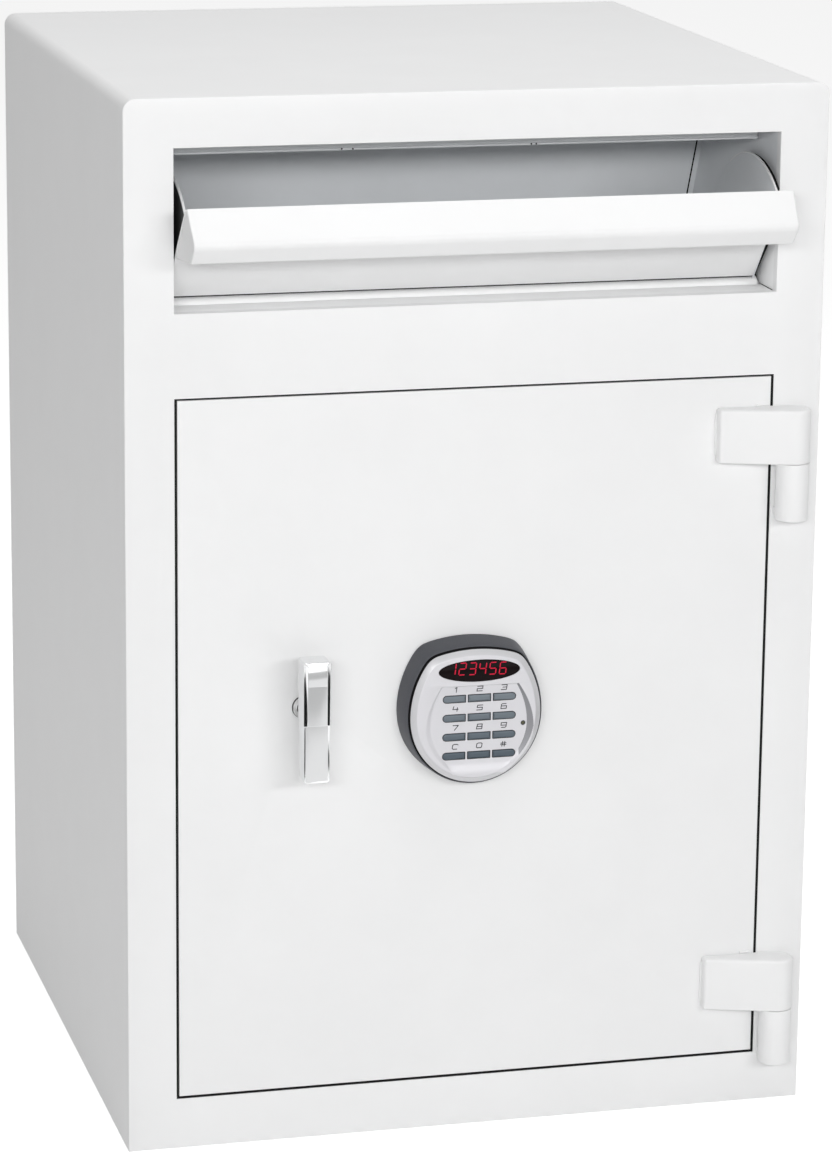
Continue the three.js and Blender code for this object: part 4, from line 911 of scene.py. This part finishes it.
def makeDisplay():
    x, z = keypad["x"] + window["aside"], keypad["z"] + window["rise"]
    lens, glow = Shell(), Shell()
    stackRows(lens, windowLoop, [(0, -268.7), (0, -271.7), (0.25, -271.95), (0.7, -272)], True)
    lens.piece("displayLens", glass, "door", "black_gloss", ["display_window"])
    w, h, b, g = figures["width"] / 2, figures["height"] / 2, figures["bar"] / 2, figures["gap"]

    def bar(x0, z0, x1, z1):  # a six-sided bar between two points, pointed at both ends
        way = np.array([x1 - x0, z1 - z0], float)
        way /= np.linalg.norm(way)
        beside = np.array([-way[1], way[0]]) * b
        first, last = np.array([x0, z0]) + way * g, np.array([x1, z1]) - way * g
        return np.array([first, first + way * b - beside, last - way * b - beside, last,
                         last - way * b + beside, first + way * b + beside])

    bars = {"a": bar(-w, h, w, h), "b": bar(w, h, w, 0), "c": bar(w, 0, w, -h), "d": bar(-w, -h, w, -h),
            "e": bar(-w, 0, -w, -h), "f": bar(-w, h, -w, 0), "g": bar(-w, 0, w, 0)}
    for place, figure in enumerate("123456"):
        rise = np.interp(place, [0, 5], figures["rises"])
        middle = np.array([x + figures["aside"] + (place - 2.5) * figures["pitch"], z + rise])
        for letter in segmentsOf[figure]:
            loop = bars[letter].copy()
            loop[:, 0] += loop[:, 1] * figures["slant"]
            plate(glow, loop + middle, [], figures["depth"], figures["depth"] + figures["thickness"], (0, 0))
    glow.piece("displayFigures", lit, "door", "black_gloss")


def makeLamp():
    collar, lens = Shell(), Shell()
    turned(collar, lamp["place"], [(1.35, -268.6), (1.78, -268.6), (1.78, -270.1), (1.65, -270.35),
                                   (1.45, -270.35), (1.35, -270.2), (1.35, -268.6)], frontAxes, 28)
    collar.piece("lampCollar", darkPlastic, "door", "dark_plastic")
    dome = [(1.3 * cos(a), -270.0 - 0.7 * sin(a)) for a in np.linspace(0, np.pi / 2, 8)]
    turned(lens, lamp["place"], [(0, -266.3), (1.3, -266.3)] + dome, frontAxes, 28)
    lens.piece("lampLens", lampLens, "door", "lamp_plastic", ["status_lamp"])


# Boltwork: chamfered bolts, and pan-head screws that hold the cover
bolts = {"radius": 10, "chamfer": 2.5}
coverScrew = {"radius": 4.2, "rise": 2.2, "slot": 0.45, "reach": 2.3, "inset": 16, "edge": 1.1,
              "slotDepth": 1.5}


def makeBoltwork():
    r, c = bolts["radius"], bolts["chamfer"]
    for level in ("top", "middle", "bottom"):
        low, high = span("locking_bolt_" + level)
        left, right = low[0], high[0]
        bar = Shell()
        turned(bar, (low + high)[1:] / 2, [
            (0, left), (r - c - 0.4, left), (r - c, left + 0.15), (r - 0.2, left + c - 0.2),
            (r, left + c + 0.3), (r, right - 0.6), (r - 0.6, right), (0, right)], sideAxes, 56)
        bar.piece("lockingBolt_" + level, chrome, "boltwork", "chrome", ["locking_bolt_" + level], 24)
    low, high = span("boltwork_cover")
    heads, slots, y = Shell(), Shell(), high[1]
    r, rise, t, reach, inset = take(coverScrew, "radius rise slot reach inset")
    for u in (low[0] + inset, (low[0] + high[0]) / 2, high[0] - inset):
        for v in (low[2] + inset, high[2] - inset):
            cross = np.array([[-reach, -t], [-t, -t], [-t, -reach], [t, -reach], [t, -t], [reach, -t]])
            cross = np.concatenate([cross, -cross]) + np.array([u, v])
            plate(heads, ellipse(u, v, r, r, 32), [cross], y + rise, y + 0.02, (coverScrew["edge"], 0),
                  frontAxes, 4, (0.1, 0))
            plate(slots, cross, [], y + rise - coverScrew["slotDepth"], y + 0.1, (0, 0))
    heads.piece("coverScrews", zinc, "door", "zinc_steel")
    slots.piece("coverScrewSlots", ground, "door", "zinc_steel")


# CAD nodes that stay take a paint of their own kind, but the two cheeks take the near-black coat: painted shade
# beside the flap.
nodePaints = (
    (white, "base_plate back_plate"), (inner, "door_rebate hopper_floor boltwork_cover"),
    (paintedShade, "hopper_cheek_left hopper_cheek_right"), (board, "keypad_board"), (darkPlastic, "battery_pack"),
    (ground, "upper_hinge_pin lower_hinge_pin handle_spindle cam_pin lock_bolt"),
    (blackPlastic, "keypad_cable"),
    (zinc, "hopper_rod drive_cam bolt_carrier bolt_guide_top bolt_guide_middle bolt_guide_bottom"),
    (zinc, "hinge_dog_top hinge_dog_bottom lock_case"))


def paintNodes():
    for paint, names in nodePaints:
        for name in names.split():
            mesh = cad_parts[name].data
            mesh.materials.clear()
            mesh.materials.append(paint)


# Stage: pale floor, white surroundings for the camera and for mirrors, soft lamps
studio = {"floor": 0.80, "lift": 0.64, "level": 0.31, "far": 12}
# Lamps: place, aim, width, height and power
lamps = {"stripLeft": ((-1.2, -3.8, 1.57), (0, -0.25, 0.70), 2, 0.38, 47.5),
         "stripRight": ((0.9, -3.9, 1.60), (0, -0.25, 0.70), 2, 0.38, 33),
         "low": ((-0.5, -3.6, 0.32), (0, -0.2, 0.68), 2.2, 0.45, 2.5),
         "top": ((0.2, -0.1, 3.4), (0, 0, 0.4), 2.4, 2.4, 37.5)}


# Cards that lie before the safe and show in the chrome alone: a graded grey one and two dark ones.
cards = {"graded": {"x": (-0.5, 0.8), "y": (-2.1, -0.95), "tones": (0.60, 0.95), "fade": (-1.41, -1.26)},
         "leftDark": {"x": (-1.7, -0.85), "y": (-0.95, -0.25), "tones": (0.01, 0.01), "fade": (-1, 0)},
         "rightDark": {"x": (0.66, 1.4), "y": (-0.80, -0.28), "tones": (0.01, 0.01), "fade": (-1, 0)}}


def flatSheet(name, x0, x1, y0, y1, z, paint):
    mesh = bpy.data.meshes.new(name)
    mesh.from_pydata([(x0, y0, z), (x1, y0, z), (x1, y1, z), (x0, y1, z)], [], [(0, 1, 2, 3)])
    mesh.materials.append(paint.owner)
    made = bpy.data.objects.new(name, mesh)
    bpy.context.scene.collection.objects.link(made)
    return made


def makeCards():
    for name, card in cards.items():
        paint = Paint(name + "Card")
        back = paint.node("SeparateXYZ", None, {0: paint.place()}, out=1)
        low, high = card["tones"]
        tone = paint.blend(paint.step(back, *card["fade"]), grey(low), grey(high))
        paint.node("OutputMaterial", None, {"Surface": paint.node("Emission", None, {"Color": tone})})
        made = flatSheet(name + "Card", *card["x"], *card["y"], 0.002, paint)
        made.visible_camera = made.visible_diffuse = made.visible_transmission = False
        made.visible_shadow = made.visible_volume_scatter = False


def makeStage():
    far = studio["far"]

    def seen(paint):  # 1 where the camera, a mirror or glass looks, 0 for light that falls on surfaces
        rays = [paint.node("LightPath", out=ray) for ray in
                ("Is Camera Ray", "Is Glossy Ray", "Is Transmission Ray")]
        return rays[0] + rays[1] + rays[2]

    paint = Paint("floorPaint")
    diffuse = paint.node("BsdfDiffuse", None, {"Color": grey(studio["floor"])})
    glow = paint.node("Emission", None, {"Strength": seen(paint) * studio["lift"]})
    paint.node("OutputMaterial", None, {"Surface": paint.node("AddShader", None, {0: diffuse, 1: glow})})
    flatSheet("floor", -far, far, -far, far, 0, paint)
    makeCards()
    world = bpy.data.worlds.new("studio")
    bpy.context.scene.world = world
    sky = Paint("sky", world)
    light = sky.node("Background", None, {"Color": grey(1), "Strength": studio["level"]})
    backdrop = sky.node("Background", None, {"Color": grey(1), "Strength": 1})
    sky.node("OutputWorld", None, {0: sky.node("MixShader", None, {0: seen(sky), 1: light, 2: backdrop})})
    for name, (place, aim, width, height, power) in lamps.items():
        light = bpy.data.lights.new(name, "AREA")
        light.energy = power
        light.shape, light.size, light.size_y = "RECTANGLE", width, height
        made = bpy.data.objects.new(name, light)
        bpy.context.scene.collection.objects.link(made)
        made.location = place
        made.rotation_euler = (Vector(aim) - Vector(place)).to_track_quat("-Z", "Y").to_euler()
    bpy.context.scene.view_settings.view_transform = "Standard"


makeCamera()
makeCabinet()
makeDoor()
print("cabinet and door made")
makeFlapFront()
makeFlapRear()
makeSillAndHeader()
makeBaffle()
makeFacings()
print("hopper made")
makeHinges()
makeHandle()
print("hinges and handle made")
makeKeypadBody()
makeBezel()
makeKeys()
makeLegends()
makeDisplay()
makeLamp()
print("keypad made")
makeBoltwork()
paintNodes()
makeStage()
print("stage set")
